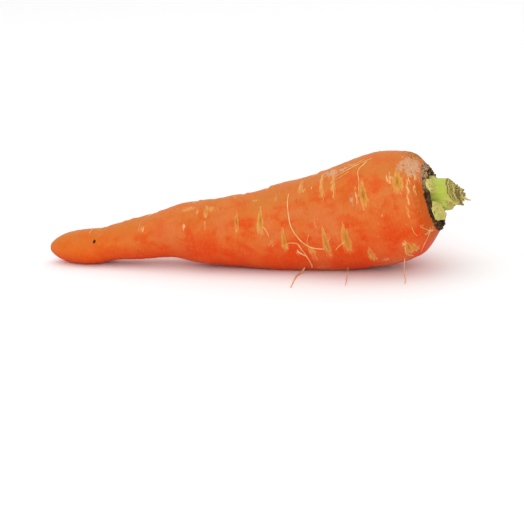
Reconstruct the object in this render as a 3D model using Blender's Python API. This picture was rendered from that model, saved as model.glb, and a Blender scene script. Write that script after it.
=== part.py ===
"""A market carrot lying on its side, its crown towards +X and its tip towards -X.

It is three grown bodies: the orange root with its crown, the green leaf stalk bases that are left
where the leaves were cut, and the withered brown ends of the inner stalks between them.
Lengths below are in millimetres, and MM turns them into metres when a mesh is made.
Angles round the root are in degrees: 0 is up, 90 the front at -Y, 180 down and 270 the back.
"""

import math

import bmesh
import bpy
import numpy as np
from mathutils import Matrix, Vector

MM = 0.001
TURN = 2 * math.pi

# The outline that is turned round the root's axis, as (distance from the crown's rim towards the
# tip, radius). It starts at the edge of the flat floor inside the rim, where the stalks stand.
FLOOR_DEPTH = 1.8
FLOOR_RADIUS = 11.5
OUTLINE = [
    (FLOOR_DEPTH, FLOOR_RADIUS),
    (0.0, 12.4),
    (0.7, 13.6),
    (2.5, 16.1),
    (5.2, 18.9),
    (8.7, 20.9),
    (14.5, 22.4),
    (22.0, 23.1),
    (30.0, 22.5),
    (43.0, 20.9),
    (57.0, 19.0),
    (71.0, 17.1),
    (85.0, 15.1),
    (98.0, 13.9),
    (107.0, 12.1),
    (114.0, 10.6),
    (122.0, 9.6),
    (130.0, 9.1),
    (143.0, 7.8),
    (152.0, 8.1),
    (158.0, 7.3),
    (163.0, 5.7),
    (166.8, 3.6),
    (168.8, 1.8),
    (169.5, 0.0),
]
ROOT_LENGTH = OUTLINE[-1][0]

# The axis: where the rim's middle is, then the height and the sideways place of the sections'
# middles, by distance from the rim.
RIM_X = 78.8
AXIS_HEIGHT = [
    (0, 30.1),
    (16, 26.0),
    (37, 21.5),
    (57, 17.7),
    (78, 15.4),
    (100, 14.7),
    (108, 14.7),
    (121, 12.8),
    (136, 9.7),
    (148, 7.3),
    (156, 6.7),
    (170, 6.4),
]
AXIS_SIDE = [(0, 0.2), (40, 0.0), (85, -1.0), (120, -1.5), (150, -0.9), (170, -0.6)]

# How finely the root is turned.
SEGMENTS = 40
RING_STEP = 1.6
CROWN_RING_STEP = 0.95
CROWN_ZONE = 8.0

# The relief of its skin. It fades out at the rim and at the tip, but for the chin, which is where
# the crown's underside draws in.
RIM_FADE = (2.0, 8.0)
TIP_FADE = 12.0
OVAL = 0.017
OVAL_PHASE = 0.6
OVAL_TWIST = 60
LOBES = 0.010
LOBES_TWIST = 38
BELLY_PLACE = 50.0
BELLY_HALF_LENGTH = 16.0
BELLY_HALF_ANGLE = math.radians(22)
BELLY_HEIGHT = 0.7
CHIN_PLACE = 4.0
CHIN_HALF_LENGTH = 4.5
CHIN_HALF_ANGLE = math.radians(55)
CHIN_DEPTH = 1.7
CHIN_RADII = (12.4, 15.0)
LUMP_SEED = 11
LUMP_COUNT = 26
LUMP_HEIGHT = 0.16
LUMP_LENGTH = (14, 70)
LUMP_FULL_LENGTH = 35
LUMP_WAVES_ROUND = (1, 6)
GROOVE_SEED = 5
GROOVE_COUNT = 46
GROOVE_DEPTH = (0.08, 0.24)
GROOVE_WIDTH = (0.9, 1.7)
GROOVE_HALF_SPAN = (0.5, 1.9)
GROOVE_START = 18
GROOVE_RUN = 148
GROOVE_CROWDING = 0.8
GROOVE_SKEW = 0.8

# Rootlet scars, as (distance from the rim, angle, width round the root, length along it).
SCARS = [
    (10.2, 49, 6.0, 2.6),
    (12.7, 129, 4.5, 2.6),
    (24.5, 57, 7.0, 2.3),
    (27.1, 125, 5.0, 2.2),
    (35.2, 101, 7.5, 2.5),
    (36.9, 33, 8.5, 1.4),
    (41.9, 35, 8.5, 1.5),
    (43.9, 102, 8.0, 2.0),
    (51.8, 22, 6.0, 1.6),
    (61.3, 93, 6.0, 1.7),
    (64.0, 29, 4.0, 1.3),
    (70.7, 63, 7.0, 1.8),
    (81.3, 62, 5.0, 1.4),
    (95.5, 39, 4.0, 1.3),
]
FAR_SCAR_SEED = 23
FAR_SCAR_ROWS = (205, 250, 300, 345)
FAR_SCAR_START = (9, 17)
FAR_SCAR_END = 150
FAR_SCAR_STEP = (8, 17)
FAR_SCAR_WANDER = 11
FAR_SCAR_SHRINK = 0.45
FAR_SCAR_WIDTH = (4.0, 7.5)
FAR_SCAR_LENGTH = (1.3, 2.3)
SCAR_DEPTH = 0.42
SCAR_LIP = 0.22
SCAR_LIP_PLACE = 1.6

# The stalks stand on the crown's floor round a middle that lies a little above the floor's own.
# It sinks by this share of the height over the floor, and droops more and more by its square.
STALK_GAP = 0.3
STALKS_RISE = 1.0
STALKS_SAG = 0.1
STALKS_DROOP = 0.01
RIB_HEIGHT = 0.16
EDGE_THINNESS = 0.93
TOP_THINNING = 0.14
TOP_NARROWING = 0.1
INNER_SPAN = 0.9
STALK_SHARES = (0, 0.35, 0.7, 1)
SIDE_POINTS = 11

# Stalks with a crescent section, as (angle, distance of the inner face from the stalks' middle,
# half of the angle it spans, thickness, height of its foot, height of its cut at the inner face,
# outward lean, how steeply the cut falls outwards).
GREEN_STALKS = {
    "front": (48, 4.6, 70, 3.6, 0.00, 10.8, 0, 0.9),
    "back": (-76, 4.6, 60, 2.6, 0.12, 9.5, 3, 0.9),
    "low": (176, 4.6, 54, 2.2, 0.24, 8.0, 2, 0.9),
    "pale_low": (136, 6.6, 40, 4.4, 0.36, 4.6, 18, 0.35),
    "pale_top": (50, 7.7, 26, 2.4, 0.48, 3.3, 8, 0.35),
    "pale_back": (-34, 6.1, 28, 2.4, 0.60, 3.0, 4, 0.35),
    "pale_under": (236, 5.7, 34, 2.9, 0.72, 4.4, 13, 0.35),
}
COLLAR_RADII = (4.9, 6.0)
COLLAR_HEIGHTS = (0.2, 1.7)
COLLAR_SEGMENTS = 28
WITHERED_STALKS = {
    "sheath_front": (60, 2.2, 66, 1.9, 8.10, 11.2, 2, 0.35),
    "sheath_low": (165, 2.2, 52, 1.9, 8.20, 11.7, 4, 0.35),
    "sheath_under": (248, 2.2, 55, 1.8, 8.30, 11.8, 2, 0.35),
    "sheath_back": (-25, 2.2, 58, 1.8, 8.40, 10.8, -4, 0.35),
    "inner_front": (100, 0.9, 75, 1.5, 10.20, 13.1, 2, 0.35),
    "inner_back": (-70, 0.9, 75, 1.5, 10.40, 12.5, -2, 0.35),
}

# The withered bunch's foot and heart, as (height, radius).
WITHERED_CORE = [(0.0, 4.0), (4.0, 4.1), (8.4, 4.1), (9.6, 3.6), (10.6, 2.9)]
WITHERED_HEART = [(9.0, 2.0), (11.6, 1.7), (12.8, 1.3), (13.5, 0.7)]
CORE_SIDES = 14


def smooth(stations, at):
    """A cubic through the stations, with each slope taken from its neighbours."""
    x, y = np.array(stations, float).T
    slope = np.gradient(y, x)
    at = np.clip(at, x[0], x[-1])
    i = np.clip(np.searchsorted(x, at) - 1, 0, len(x) - 2)
    step = x[i + 1] - x[i]
    t = (at - x[i]) / step
    rise = y[i + 1] - y[i]
    bend = (slope[i] + slope[i + 1]) * step - 2 * rise
    start = 3 * rise - (2 * slope[i] + slope[i + 1]) * step
    return y[i] + t * (slope[i] * step + t * (start + t * bend))


def outline_points():
    """The outline resampled, with close rings on the crown and wider ones along the body."""
    corners = np.array(OUTLINE)
    run = np.concatenate([[0], np.cumsum(np.hypot(*np.diff(corners, axis=0).T))])
    places = [0.0]
    while places[-1] < run[-1]:
        near_crown = np.interp(places[-1], run, corners[:, 0]) < CROWN_ZONE
        places.append(places[-1] + (CROWN_RING_STEP if near_crown else RING_STEP))
    places = np.array(places) * run[-1] / places[-1]
    along = smooth(np.column_stack([run, corners[:, 0]]), places)
    radius = smooth(np.column_stack([run, corners[:, 1]]), places)
    radius[-1] = 0.0
    floor = [(FLOOR_DEPTH, 0.0), (FLOOR_DEPTH, FLOOR_RADIUS / 2)]
    return floor + list(zip(along, radius))


def unit(vectors):
    return vectors / np.linalg.norm(vectors, axis=-1, keepdims=True)


def axis_frame(along):
    """Middles of the root's sections, the directions out of the crown, and the sections' up and front."""
    along = np.asarray(along, float)
    before = np.clip(along - 1, 0, ROOT_LENGTH)
    after = np.clip(along + 1, 0, ROOT_LENGTH)
    side_rise = smooth(AXIS_SIDE, before) - smooth(AXIS_SIDE, after)
    height_rise = smooth(AXIS_HEIGHT, before) - smooth(AXIS_HEIGHT, after)
    outward = unit(np.stack([after - before, side_rise, height_rise], -1))
    front = unit(np.cross(outward, [0, 0, 1]))
    up = np.cross(front, outward)
    middle = np.stack([RIM_X - along, smooth(AXIS_SIDE, along), smooth(AXIS_HEIGHT, along)], -1)
    return middle, outward, up, front


def lumps():
    """Slow waves that make the root uneven: (rate along, waves round, phase, start, height)."""
    random = np.random.default_rng(LUMP_SEED)
    waves = []
    for _ in range(LUMP_COUNT):
        length = random.uniform(*LUMP_LENGTH)
        around = random.integers(*LUMP_WAVES_ROUND)
        phase, start = random.uniform(0, TURN, 2)
        height = LUMP_HEIGHT * random.uniform(0.3, 1.0) * min(1.0, length / LUMP_FULL_LENGTH)
        waves.append((TURN / length, around, phase, start, height))
    return waves


def grooves():
    """Shallow creases part of the way round: (place, middle angle, half span, depth, width, skew)."""
    random = np.random.default_rng(GROOVE_SEED)
    made = []
    for _ in range(GROOVE_COUNT):
        place = GROOVE_START + GROOVE_RUN * random.uniform() ** GROOVE_CROWDING
        middle = random.uniform(0, TURN)
        half_span = random.uniform(*GROOVE_HALF_SPAN)
        depth = random.uniform(*GROOVE_DEPTH)
        width = random.uniform(*GROOVE_WIDTH)
        skew = random.uniform(-GROOVE_SKEW, GROOVE_SKEW)
        made.append((place, middle, half_span, depth, width, skew))
    return made


def all_scars():
    """The front's scars, and rows of seeded ones on the sides that face away."""
    random = np.random.default_rng(FAR_SCAR_SEED)
    made = [(place, math.radians(angle), width, length) for place, angle, width, length in SCARS]
    for row in FAR_SCAR_ROWS:
        place = random.uniform(*FAR_SCAR_START)
        while place < FAR_SCAR_END:
            middle = math.radians(row + random.uniform(-FAR_SCAR_WANDER, FAR_SCAR_WANDER))
            width = random.uniform(*FAR_SCAR_WIDTH) * (1 - FAR_SCAR_SHRINK * place / ROOT_LENGTH)
            made.append((place, middle, width, random.uniform(*FAR_SCAR_LENGTH)))
            place += random.uniform(*FAR_SCAR_STEP)
    return made


def angle_between(a, b):
    return (a - b + math.pi) % TURN - math.pi


def chin(along, angle, radius):
    """How far the underside of the crown draws in, outside its rim only."""
    inner, outer = CHIN_RADII
    outside = np.clip((radius - inner) / (outer - inner), 0, 1)
    chin_along = (along - CHIN_PLACE) / CHIN_HALF_LENGTH
    chin_round = angle_between(angle, math.pi) / CHIN_HALF_ANGLE
    return CHIN_DEPTH * outside * np.exp(-chin_along**2 - chin_round**2)


def relief(along, angle, radius):
    """How far the skin stands out of the turned outline, by place."""
    rim_start, rim_run = RIM_FADE
    fade = np.clip((along - rim_start) / rim_run, 0, 1) * np.clip((ROOT_LENGTH - along) / TIP_FADE, 0, 1)
    out = radius * OVAL * np.cos(2 * angle + OVAL_PHASE + along / OVAL_TWIST)
    out += radius * LOBES * np.cos(3 * angle - along / LOBES_TWIST)
    belly_along = (along - BELLY_PLACE) / BELLY_HALF_LENGTH
    belly_round = angle_between(angle, math.pi) / BELLY_HALF_ANGLE
    out += BELLY_HEIGHT * np.exp(-belly_along**2 - belly_round**2)
    for rate, around, phase, start, height in lumps():
        out += height * np.sin(rate * along + phase) * np.cos(around * angle + start)
    for place, middle, half_span, depth, width, skew in grooves():
        turn = angle_between(angle, middle)
        across = (along - place - skew * turn) / width
        reach = np.cos(np.clip(turn / half_span, -1, 1) * math.pi / 2)
        out -= depth * np.exp(-across * across) * reach
    for place, middle, width, length in all_scars():
        round_it = angle_between(angle, middle) * radius / (width / 2)
        along_it = (along - place) / (length / 2)
        hollow = np.exp(-round_it * round_it - along_it * along_it)
        lip = np.exp(-round_it * round_it - (along_it + SCAR_LIP_PLACE) ** 2)
        out += SCAR_LIP * lip - SCAR_DEPTH * hollow
    return out * fade - chin(along, angle, radius)


def skin_points(along, angle, radius):
    """Points of the root's skin. What would sink into the surface it lies on is pressed flat."""
    middle, _, up, front = axis_frame(along)
    out = (radius + relief(along, angle, radius) * (radius > 0))[:, None]
    points = middle + out * (up * np.cos(angle)[:, None] + front * np.sin(angle)[:, None])
    points[:, 2] = np.maximum(points[:, 2], 0.0)
    return points


def plain_material(name, colour, roughness):
    material = bpy.data.materials.new(name)
    material.use_nodes = True
    shader = material.node_tree.nodes["Principled BSDF"]
    shader.inputs["Base Color"].default_value = (*colour, 1)
    shader.inputs["Roughness"].default_value = roughness
    shader.inputs["Metallic"].default_value = 0.0
    material.diffuse_color = (*colour, 1)
    return material


def add_object(name, bm, material):
    """A closed bmesh, its faces turned outwards, as a named smooth-shaded object."""
    bmesh.ops.recalc_face_normals(bm, faces=bm.faces)
    mesh = bpy.data.meshes.new(name)
    bm.to_mesh(mesh)
    bm.free()
    mesh.materials.append(material)
    mesh.shade_smooth()
    made = bpy.data.objects.new(name, mesh)
    bpy.context.scene.collection.objects.link(made)
    return made


def spin_round(bm, corners, axis, segments):
    """Spins a line of corners once round the axis and joins where it meets itself."""
    edges = [bm.edges.new(pair) for pair in zip(corners, corners[1:])]
    bmesh.ops.spin(
        bm,
        geom=corners + edges,
        cent=(0, 0, 0),
        axis=axis,
        angle=TURN,
        steps=segments,
        use_merge=True,
    )
    bmesh.ops.remove_doubles(bm, verts=bm.verts, dist=0.01)


def build_root(material):
    """The outline spun round the X axis, then each point moved to its place on the bent, uneven root."""
    bm = bmesh.new()
    corners = [bm.verts.new((-along, 0, radius)) for along, radius in outline_points()]
    spin_round(bm, corners, (1, 0, 0), SEGMENTS)
    turned = np.array([vert.co for vert in bm.verts])
    angle = np.arctan2(-turned[:, 1], turned[:, 2])
    radius = np.hypot(turned[:, 1], turned[:, 2])
    for vert, place in zip(bm.verts, skin_points(-turned[:, 0], angle, radius)):
        vert.co = place * MM
    return add_object("root", bm, material)


def crown_matrix():
    """Places things built in millimetres, +Z out of the crown, +X up and +Y to the front."""
    middle, outward, up, front = (Vector(row) for row in axis_frame(FLOOR_DEPTH))
    turned = Matrix((up, front, outward)).transposed().to_4x4()
    return Matrix.Scale(MM, 4) @ Matrix.Translation(middle + outward * STALK_GAP) @ turned


def on_crown(angle, distance, height):
    """A point over the crown's floor, by angle and distance from the stalks' middle."""
    turn = math.radians(angle)
    rise = STALKS_RISE - STALKS_SAG * height - STALKS_DROOP * height**2
    return Vector((rise + math.cos(turn) * distance, math.sin(turn) * distance, height))


def close_ring(bm, corners):
    """Faces like the rungs of a ladder between the first half of a ring and the second."""
    count = len(corners)
    for i in range(count // 2 - 1):
        bm.faces.new([corners[i], corners[i + 1], corners[count - 2 - i], corners[count - 1 - i]])


def loft(name, rings, material):
    """Skins a row of rings, closes both ends and sets the body on the crown."""
    bm = bmesh.new()
    rows = [[bm.verts.new(point) for point in ring] for ring in rings]
    for low, high in zip(rows, rows[1:]):
        for a, b, c, d in zip(low, low[1:] + low[:1], high[1:] + high[:1], high):
            bm.faces.new([a, b, c, d])
    close_ring(bm, rows[0])
    close_ring(bm, rows[-1])
    bmesh.ops.transform(bm, matrix=crown_matrix(), verts=bm.verts)
    return add_object(name, bm, material)


def crescent(stalk, share):
    """A stalk's section at this share of its height: a ribbed back, and a face hollowed to fit inside."""
    angle, reach, half_span, thickness, foot, top, lean, slope = stalk
    ring = []
    for i in range(SIDE_POINTS):
        side = 2 * i / (SIDE_POINTS - 1) - 1
        rib = RIB_HEIGHT * (-1) ** i
        bulge = (1 - TOP_THINNING * share) * math.sqrt(1 - EDGE_THINNESS * side * side)
        turn = angle + side * half_span * (1 - TOP_NARROWING * share)
        ring.append((turn, reach + thickness * bulge + rib))
    for i in range(SIDE_POINTS):
        side = 1 - 2 * i / (SIDE_POINTS - 1)
        turn = angle + side * half_span * (INNER_SPAN - TOP_NARROWING * share)
        ring.append((turn, reach))
    points = []
    for turn, out in ring:
        height = foot + (top - foot) * share - slope * (out - reach) * share
        points.append(on_crown(turn, out + (height - foot) * math.tan(math.radians(lean)), height))
    return points


def build_stalk(name, stalk, material):
    return loft(name, [crescent(stalk, share) for share in STALK_SHARES], material)


def build_round(name, stations, material):
    """An upright body of round sections on the stalks' middle."""
    turns = [360 * i / CORE_SIDES for i in range(CORE_SIDES)]
    rings = [[on_crown(turn, radius, height) for turn in turns] for height, radius in stations]
    return loft(name, rings, material)


def build_collar(material):
    """The ring in which the green stalks' feet have grown together."""
    bm = bmesh.new()
    inner, outer = COLLAR_RADII
    low, high = COLLAR_HEIGHTS
    square = [(inner, low), (outer, low), (outer, high), (inner, high), (inner, low)]
    corners = [bm.verts.new((radius, 0, height)) for radius, height in square]
    spin_round(bm, corners, (0, 0, 1), COLLAR_SEGMENTS)
    to_middle = Matrix.Translation((STALKS_RISE, 0, 0))
    bmesh.ops.transform(bm, matrix=crown_matrix() @ to_middle, verts=bm.verts)
    return add_object("collar", bm, material)


def join_into(name, base, others):
    """Joins the others to the base by one Boolean union on a collection, then removes them."""
    group = bpy.data.collections.new(name + "_pieces")
    for piece in others:
        group.objects.link(piece)
    union = base.modifiers.new("Join", "BOOLEAN")
    union.operation = "UNION"
    union.solver = "EXACT"
    union.operand_type = "COLLECTION"
    union.collection = group
    joined = bpy.data.meshes.new_from_object(base.evaluated_get(bpy.context.evaluated_depsgraph_get()))
    base.modifiers.clear()
    base.data = joined
    base.name = name
    joined.name = name
    for piece in others:
        bpy.data.objects.remove(piece)
    bpy.data.collections.remove(group)
    return base


def build_leaf_stalk_bases(material):
    """The green leaf stalk bases, their feet grown together in a collar."""
    stalks = [build_stalk(name, stalk, material) for name, stalk in GREEN_STALKS.items()]
    return join_into("leaf_stalk_bases", build_collar(material), stalks)


def build_withered_ends(material):
    """The shrivelled inner stalks: a core inside the green ones, with nested sheaths round its end."""
    core = build_round("core", WITHERED_CORE, material)
    heart = build_round("heart", WITHERED_HEART, material)
    sheaths = [build_stalk(name, stalk, material) for name, stalk in WITHERED_STALKS.items()]
    return join_into("withered_stalk_ends", core, [heart] + sheaths)


def main():
    for old in list(bpy.data.objects):
        bpy.data.objects.remove(old)
    build_root(plain_material("root_skin", (0.74, 0.13, 0.02), 0.42))
    build_leaf_stalk_bases(plain_material("green_stalk", (0.42, 0.44, 0.07), 0.5))
    build_withered_ends(plain_material("withered_stalk", (0.23, 0.15, 0.05), 0.85))


main()
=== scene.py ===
# %% [markdown]
# A market carrot, lying on its side
#
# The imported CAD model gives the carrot's true size and place as three plain bodies: the root, the
# green leaf stalk bases and the withered ends between them. This script shows each of them with
# the detail that a grown thing has: scars, creases, rootlets, fibres and soil.
# Everything is made by formula, in millimetres, and turned into metres when a mesh is made.

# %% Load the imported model
import math

import bmesh
import bpy
import numpy as np
from mathutils import Matrix, Vector


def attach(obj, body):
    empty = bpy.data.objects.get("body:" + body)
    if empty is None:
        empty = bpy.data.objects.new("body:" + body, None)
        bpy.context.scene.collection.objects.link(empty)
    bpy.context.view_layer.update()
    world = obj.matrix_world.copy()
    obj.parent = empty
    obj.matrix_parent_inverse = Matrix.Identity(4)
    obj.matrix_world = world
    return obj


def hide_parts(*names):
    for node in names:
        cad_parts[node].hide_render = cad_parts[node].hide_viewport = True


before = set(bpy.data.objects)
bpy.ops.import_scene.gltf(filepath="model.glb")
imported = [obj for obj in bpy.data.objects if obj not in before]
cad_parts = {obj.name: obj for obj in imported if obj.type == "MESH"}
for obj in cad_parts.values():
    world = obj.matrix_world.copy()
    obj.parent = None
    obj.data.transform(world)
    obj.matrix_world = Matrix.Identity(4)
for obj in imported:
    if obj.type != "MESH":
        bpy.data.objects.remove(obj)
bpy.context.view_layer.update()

MM = 0.001
TURN = 2 * math.pi

# %% [markdown]
# The root's shape
#
# A carrot is nearly a turned thing, so its outline is a short list of distances from the crown's
# rim and radii. The axis bends, so a second list gives its height and a third its sideways place.
# Angles round the root are in degrees: 0 is up, 90 the front at -Y, 180 down and 270 the back.

# %% Outline and axis of the root
FLOOR_DEPTH = 1.8
FLOOR_RADIUS = 11.5
OUTLINE = [
    (FLOOR_DEPTH, FLOOR_RADIUS), (0.0, 12.4), (0.7, 13.6), (2.5, 16.1), (5.2, 18.9), (8.7, 20.9),
    (14.5, 22.4), (22.0, 23.1), (30.0, 22.5), (43.0, 20.9), (57.0, 19.0), (71.0, 17.1),
    (85.0, 15.1), (98.0, 13.9), (107.0, 12.1), (114.0, 10.6), (122.0, 9.6), (130.0, 9.1),
    (143.0, 7.8), (152.0, 8.1), (158.0, 7.3), (163.0, 5.7), (166.8, 3.6), (168.8, 1.8), (169.5, 0.0),
]
ROOT_LENGTH = OUTLINE[-1][0]
RIM_X = 78.8
AXIS_HEIGHT = [
    (0, 30.1), (16, 26.0), (37, 21.5), (57, 17.7), (78, 15.4), (100, 14.7), (108, 14.7),
    (121, 12.8), (136, 9.7), (148, 7.3), (156, 6.7), (170, 6.4),
]
AXIS_SIDE = [(0, 0.2), (40, 0.0), (85, -1.0), (120, -1.5), (150, -0.9), (170, -0.6)]


def smooth(stations, at):
    """A cubic through the stations, with each slope taken from its neighbours."""
    x, y = np.array(stations, float).T
    slope = np.gradient(y, x)
    at = np.clip(at, x[0], x[-1])
    i = np.clip(np.searchsorted(x, at) - 1, 0, len(x) - 2)
    step = x[i + 1] - x[i]
    t = (at - x[i]) / step
    rise = y[i + 1] - y[i]
    bend = (slope[i] + slope[i + 1]) * step - 2 * rise
    start = 3 * rise - (2 * slope[i] + slope[i + 1]) * step
    return y[i] + t * (slope[i] * step + t * (start + t * bend))


def unit(vectors):
    return vectors / np.linalg.norm(vectors, axis=-1, keepdims=True)


def axis_frame(along):
    """Middles of the root's sections, the directions out of the crown, and the sections' up and front."""
    along = np.asarray(along, float)
    before = np.clip(along - 1, 0, ROOT_LENGTH)
    after = np.clip(along + 1, 0, ROOT_LENGTH)
    side_rise = smooth(AXIS_SIDE, before) - smooth(AXIS_SIDE, after)
    height_rise = smooth(AXIS_HEIGHT, before) - smooth(AXIS_HEIGHT, after)
    outward = unit(np.stack([after - before, side_rise, height_rise], -1))
    front = unit(np.cross(outward, [0, 0, 1]))
    up = np.cross(front, outward)
    middle = np.stack([RIM_X - along, smooth(AXIS_SIDE, along), smooth(AXIS_HEIGHT, along)], -1)
    return middle, outward, up, front


print("root from", RIM_X - ROOT_LENGTH, "to", RIM_X, "mm along X")

# %% [markdown]
# The root's coarse relief
#
# Real roots are a little oval, wavy and creased across, because they swell between stones and dry
# out once dug up. The scars are where side roots grew: short hollows that run round the root.
# Sums of waves and bell curves describe all of that, with seeds, so each run gives the same carrot.

# %% Coarse relief
RIM_FADE = (2.0, 8.0)
TIP_FADE = 12.0
OVAL, OVAL_PHASE, OVAL_TWIST = 0.017, 0.6, 60
LOBES, LOBES_TWIST = 0.010, 38
# The belly that the root rests on and the drawn-in chin under its crown, as (distance from the
# rim, half length, angle, half angle).
BELLY, BELLY_HEIGHT = (50.0, 16.0, math.pi, math.radians(22)), 0.7
CHIN, CHIN_DEPTH, CHIN_RADII = (4.0, 4.5, math.pi, math.radians(55)), 1.7, (12.4, 15.0)
LUMP_SEED, LUMP_COUNT, LUMP_HEIGHT, LUMP_SHARES = 11, 26, 0.16, (0.3, 1.0)
LUMP_LENGTH, LUMP_FULL_LENGTH, LUMP_WAVES_ROUND = (14, 70), 35, (1, 6)
# Creases by seed, number, start, run, crowding, half span in radians, depth, width and skew.
GROOVES = (5, 46, 18, 148, 0.8, (0.5, 1.9), (0.08, 0.24), (0.9, 1.7), 0.8)

# Scars as (distance from the rim, angle, width round the root, length along it, tone). The tone
# says how clearly its ochre shows.
SCARS = [
    (10.2, 49, 6.0, 2.6, 1.0), (12.7, 129, 4.5, 2.6, 0.9), (24.5, 57, 7.0, 2.3, 1.0),
    (27.1, 125, 5.0, 2.2, 0.8), (35.2, 101, 7.5, 2.5, 1.0), (36.9, 33, 8.5, 1.4, 0.5),
    (41.9, 35, 8.5, 1.5, 0.6), (43.9, 102, 8.0, 2.0, 0.9), (51.8, 22, 6.0, 1.6, 0.5),
    (61.3, 93, 6.0, 1.7, 0.9), (64.0, 29, 4.0, 1.3, 0.3), (70.7, 63, 7.0, 1.8, 0.9),
    (81.3, 62, 5.0, 1.4, 0.8), (95.5, 39, 4.0, 1.3, 0.6),
]
FAR_SCAR_SEED = 23
FAR_SCAR_ROWS = (205, 250, 300, 345)
FAR_SCAR_START, FAR_SCAR_END, FAR_SCAR_STEP = (9, 17), 150, (8, 17)
FAR_SCAR_WANDER, FAR_SCAR_SHRINK = 11, 0.45
FAR_SCAR_WIDTH, FAR_SCAR_LENGTH = (4.0, 7.5), (1.3, 2.3)
FAR_SCAR_FAINTEST, FAR_SCAR_TONE_RATE = 0.4, 9
SCAR_DEPTH, SCAR_LIP, SCAR_LIP_PLACE = 0.42, 0.22, 1.6


def lumps():
    """Slow waves that make the root uneven: (rate along, waves round, phase, start, height)."""
    random = np.random.default_rng(LUMP_SEED)
    waves = []
    for _ in range(LUMP_COUNT):
        length = random.uniform(*LUMP_LENGTH)
        around = random.integers(*LUMP_WAVES_ROUND)
        phase, start = random.uniform(0, TURN, 2)
        height = LUMP_HEIGHT * random.uniform(*LUMP_SHARES) * min(1.0, length / LUMP_FULL_LENGTH)
        waves.append((TURN / length, around, phase, start, height))
    return waves


def creases(seed, count, start, run, crowding, spans, depths, widths, skew):
    """Creases part of the way round: (place, middle angle, half span, depth, width, skew)."""
    random = np.random.default_rng(seed)
    return [
        (start + run * random.uniform() ** crowding, random.uniform(0, TURN), random.uniform(*spans),
         random.uniform(*depths), random.uniform(*widths), random.uniform(-skew, skew))
        for _ in range(count)
    ]


def all_scars():
    """The front's scars, and rows of seeded ones on the sides that face away."""
    random = np.random.default_rng(FAR_SCAR_SEED)
    made = [(place, math.radians(angle), wide, length, tone) for place, angle, wide, length, tone in SCARS]
    for row in FAR_SCAR_ROWS:
        place = random.uniform(*FAR_SCAR_START)
        while place < FAR_SCAR_END:
            middle = math.radians(row + random.uniform(-FAR_SCAR_WANDER, FAR_SCAR_WANDER))
            width = random.uniform(*FAR_SCAR_WIDTH) * (1 - FAR_SCAR_SHRINK * place / ROOT_LENGTH)
            length = random.uniform(*FAR_SCAR_LENGTH)
            clearness = abs(math.sin(FAR_SCAR_TONE_RATE * place))
            tone = FAR_SCAR_FAINTEST + (1 - FAR_SCAR_FAINTEST) * clearness
            made.append((place, middle, width, length, tone))
            place += random.uniform(*FAR_SCAR_STEP)
    return made


def angle_between(a, b):
    return (a - b + math.pi) % TURN - math.pi


def hump(along, angle, place, half_length, middle, half_angle):
    """A bell curve over the skin, 1 in its middle."""
    along_it = (along - place) / half_length
    round_it = angle_between(angle, middle) / half_angle
    return np.exp(-along_it**2 - round_it**2)


def crease_depth(along, angle, crease):
    place, middle, half_span, depth, width, skew = crease
    turn = angle_between(angle, middle)
    across = (along - place - skew * turn) / width
    reach = np.cos(np.clip(turn / half_span, -1, 1) * math.pi / 2)
    return depth * np.exp(-across * across) * reach


def chin(along, angle, radius):
    """How far the underside of the crown draws in, outside its rim only."""
    inner, outer = CHIN_RADII
    outside = np.clip((radius - inner) / (outer - inner), 0, 1)
    return CHIN_DEPTH * outside * hump(along, angle, *CHIN)


def relief(along, angle, radius):
    """How far the skin stands out of the turned outline, as on the CAD root."""
    rim_start, rim_run = RIM_FADE
    fade = np.clip((along - rim_start) / rim_run, 0, 1) * np.clip((ROOT_LENGTH - along) / TIP_FADE, 0, 1)
    out = radius * OVAL * np.cos(2 * angle + OVAL_PHASE + along / OVAL_TWIST)
    out += radius * LOBES * np.cos(3 * angle - along / LOBES_TWIST)
    out += BELLY_HEIGHT * hump(along, angle, *BELLY)
    for rate, around, phase, start, height in lumps():
        out += height * np.sin(rate * along + phase) * np.cos(around * angle + start)
    for crease in creases(*GROOVES):
        out -= crease_depth(along, angle, crease)
    for place, middle, width, length, _ in all_scars():
        round_it = angle_between(angle, middle) * radius / (width / 2)
        along_it = (along - place) / (length / 2)
        hollow = np.exp(-round_it * round_it - along_it * along_it)
        lip = np.exp(-round_it * round_it - (along_it + SCAR_LIP_PLACE) ** 2)
        out += SCAR_LIP * lip - SCAR_DEPTH * hollow
    return out * fade - chin(along, angle, radius)


print(len(all_scars()), "scars and", len(creases(*GROOVES)), "creases")

# %% [markdown]
# The root's fine relief and its marks
#
# The CAD root has room for the coarse forms only. Here the same skin gets a mesh fine enough for
# hairline creases, slits in the scars, pores, the cracked shoulder and the rough collar.
# The same bell curves are also kept as attributes of the mesh's points, so that the material knows
# where the ochre, the dark slits, the pale dried skin and the soil are, and where it paints shade and
# bounce light.

# %% Fine relief and marks
LATTICE = 48
HAIRLINES = (31, 420, 4, 163, 1.0, (0.06, 0.5), (0.03, 0.11), (0.32, 0.6), 1.5)
# How many widths away a bell curve still counts, and what a spot and a slanted crease get on top.
BELL_REACH, SPOT_MARGIN, CREASE_MARGIN = 3, 1, 2
PORE_SEED, PORE_COUNT, PORE_RADIUS, PORE_HEIGHT = 47, 520, (0.35, 0.7), (-0.07, 0.11)
PORE_PLACES, PORE_WIDENING = (3, 166), 1.5
SLIT_DEPTH, SLIT_WIDTH, SLIT_SHARE = 0.34, 0.42, 0.42
WAVE_HEIGHT, WAVE_SIZE = 0.10, (7.0, 9.0)
FINE_HEIGHT, FINE_SIZE = 0.045, (1.3, 3.6)
COLLAR_END, COLLAR_FADE = 2.2, 1.1
COLLAR_HEIGHT, COLLAR_SIZE = 0.45, 1.5
COLLAR_ROUGH, COLLAR_RINGS, COLLAR_RING_RATE, COLLAR_RING_WAVER = 0.6, 0.35, 4.2, 2
END_FADE = 3
CROWN_PALE_END, CROWN_PALE_DEPTH, SPECK_HEIGHT = 10, 0.25, 0.5
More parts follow.
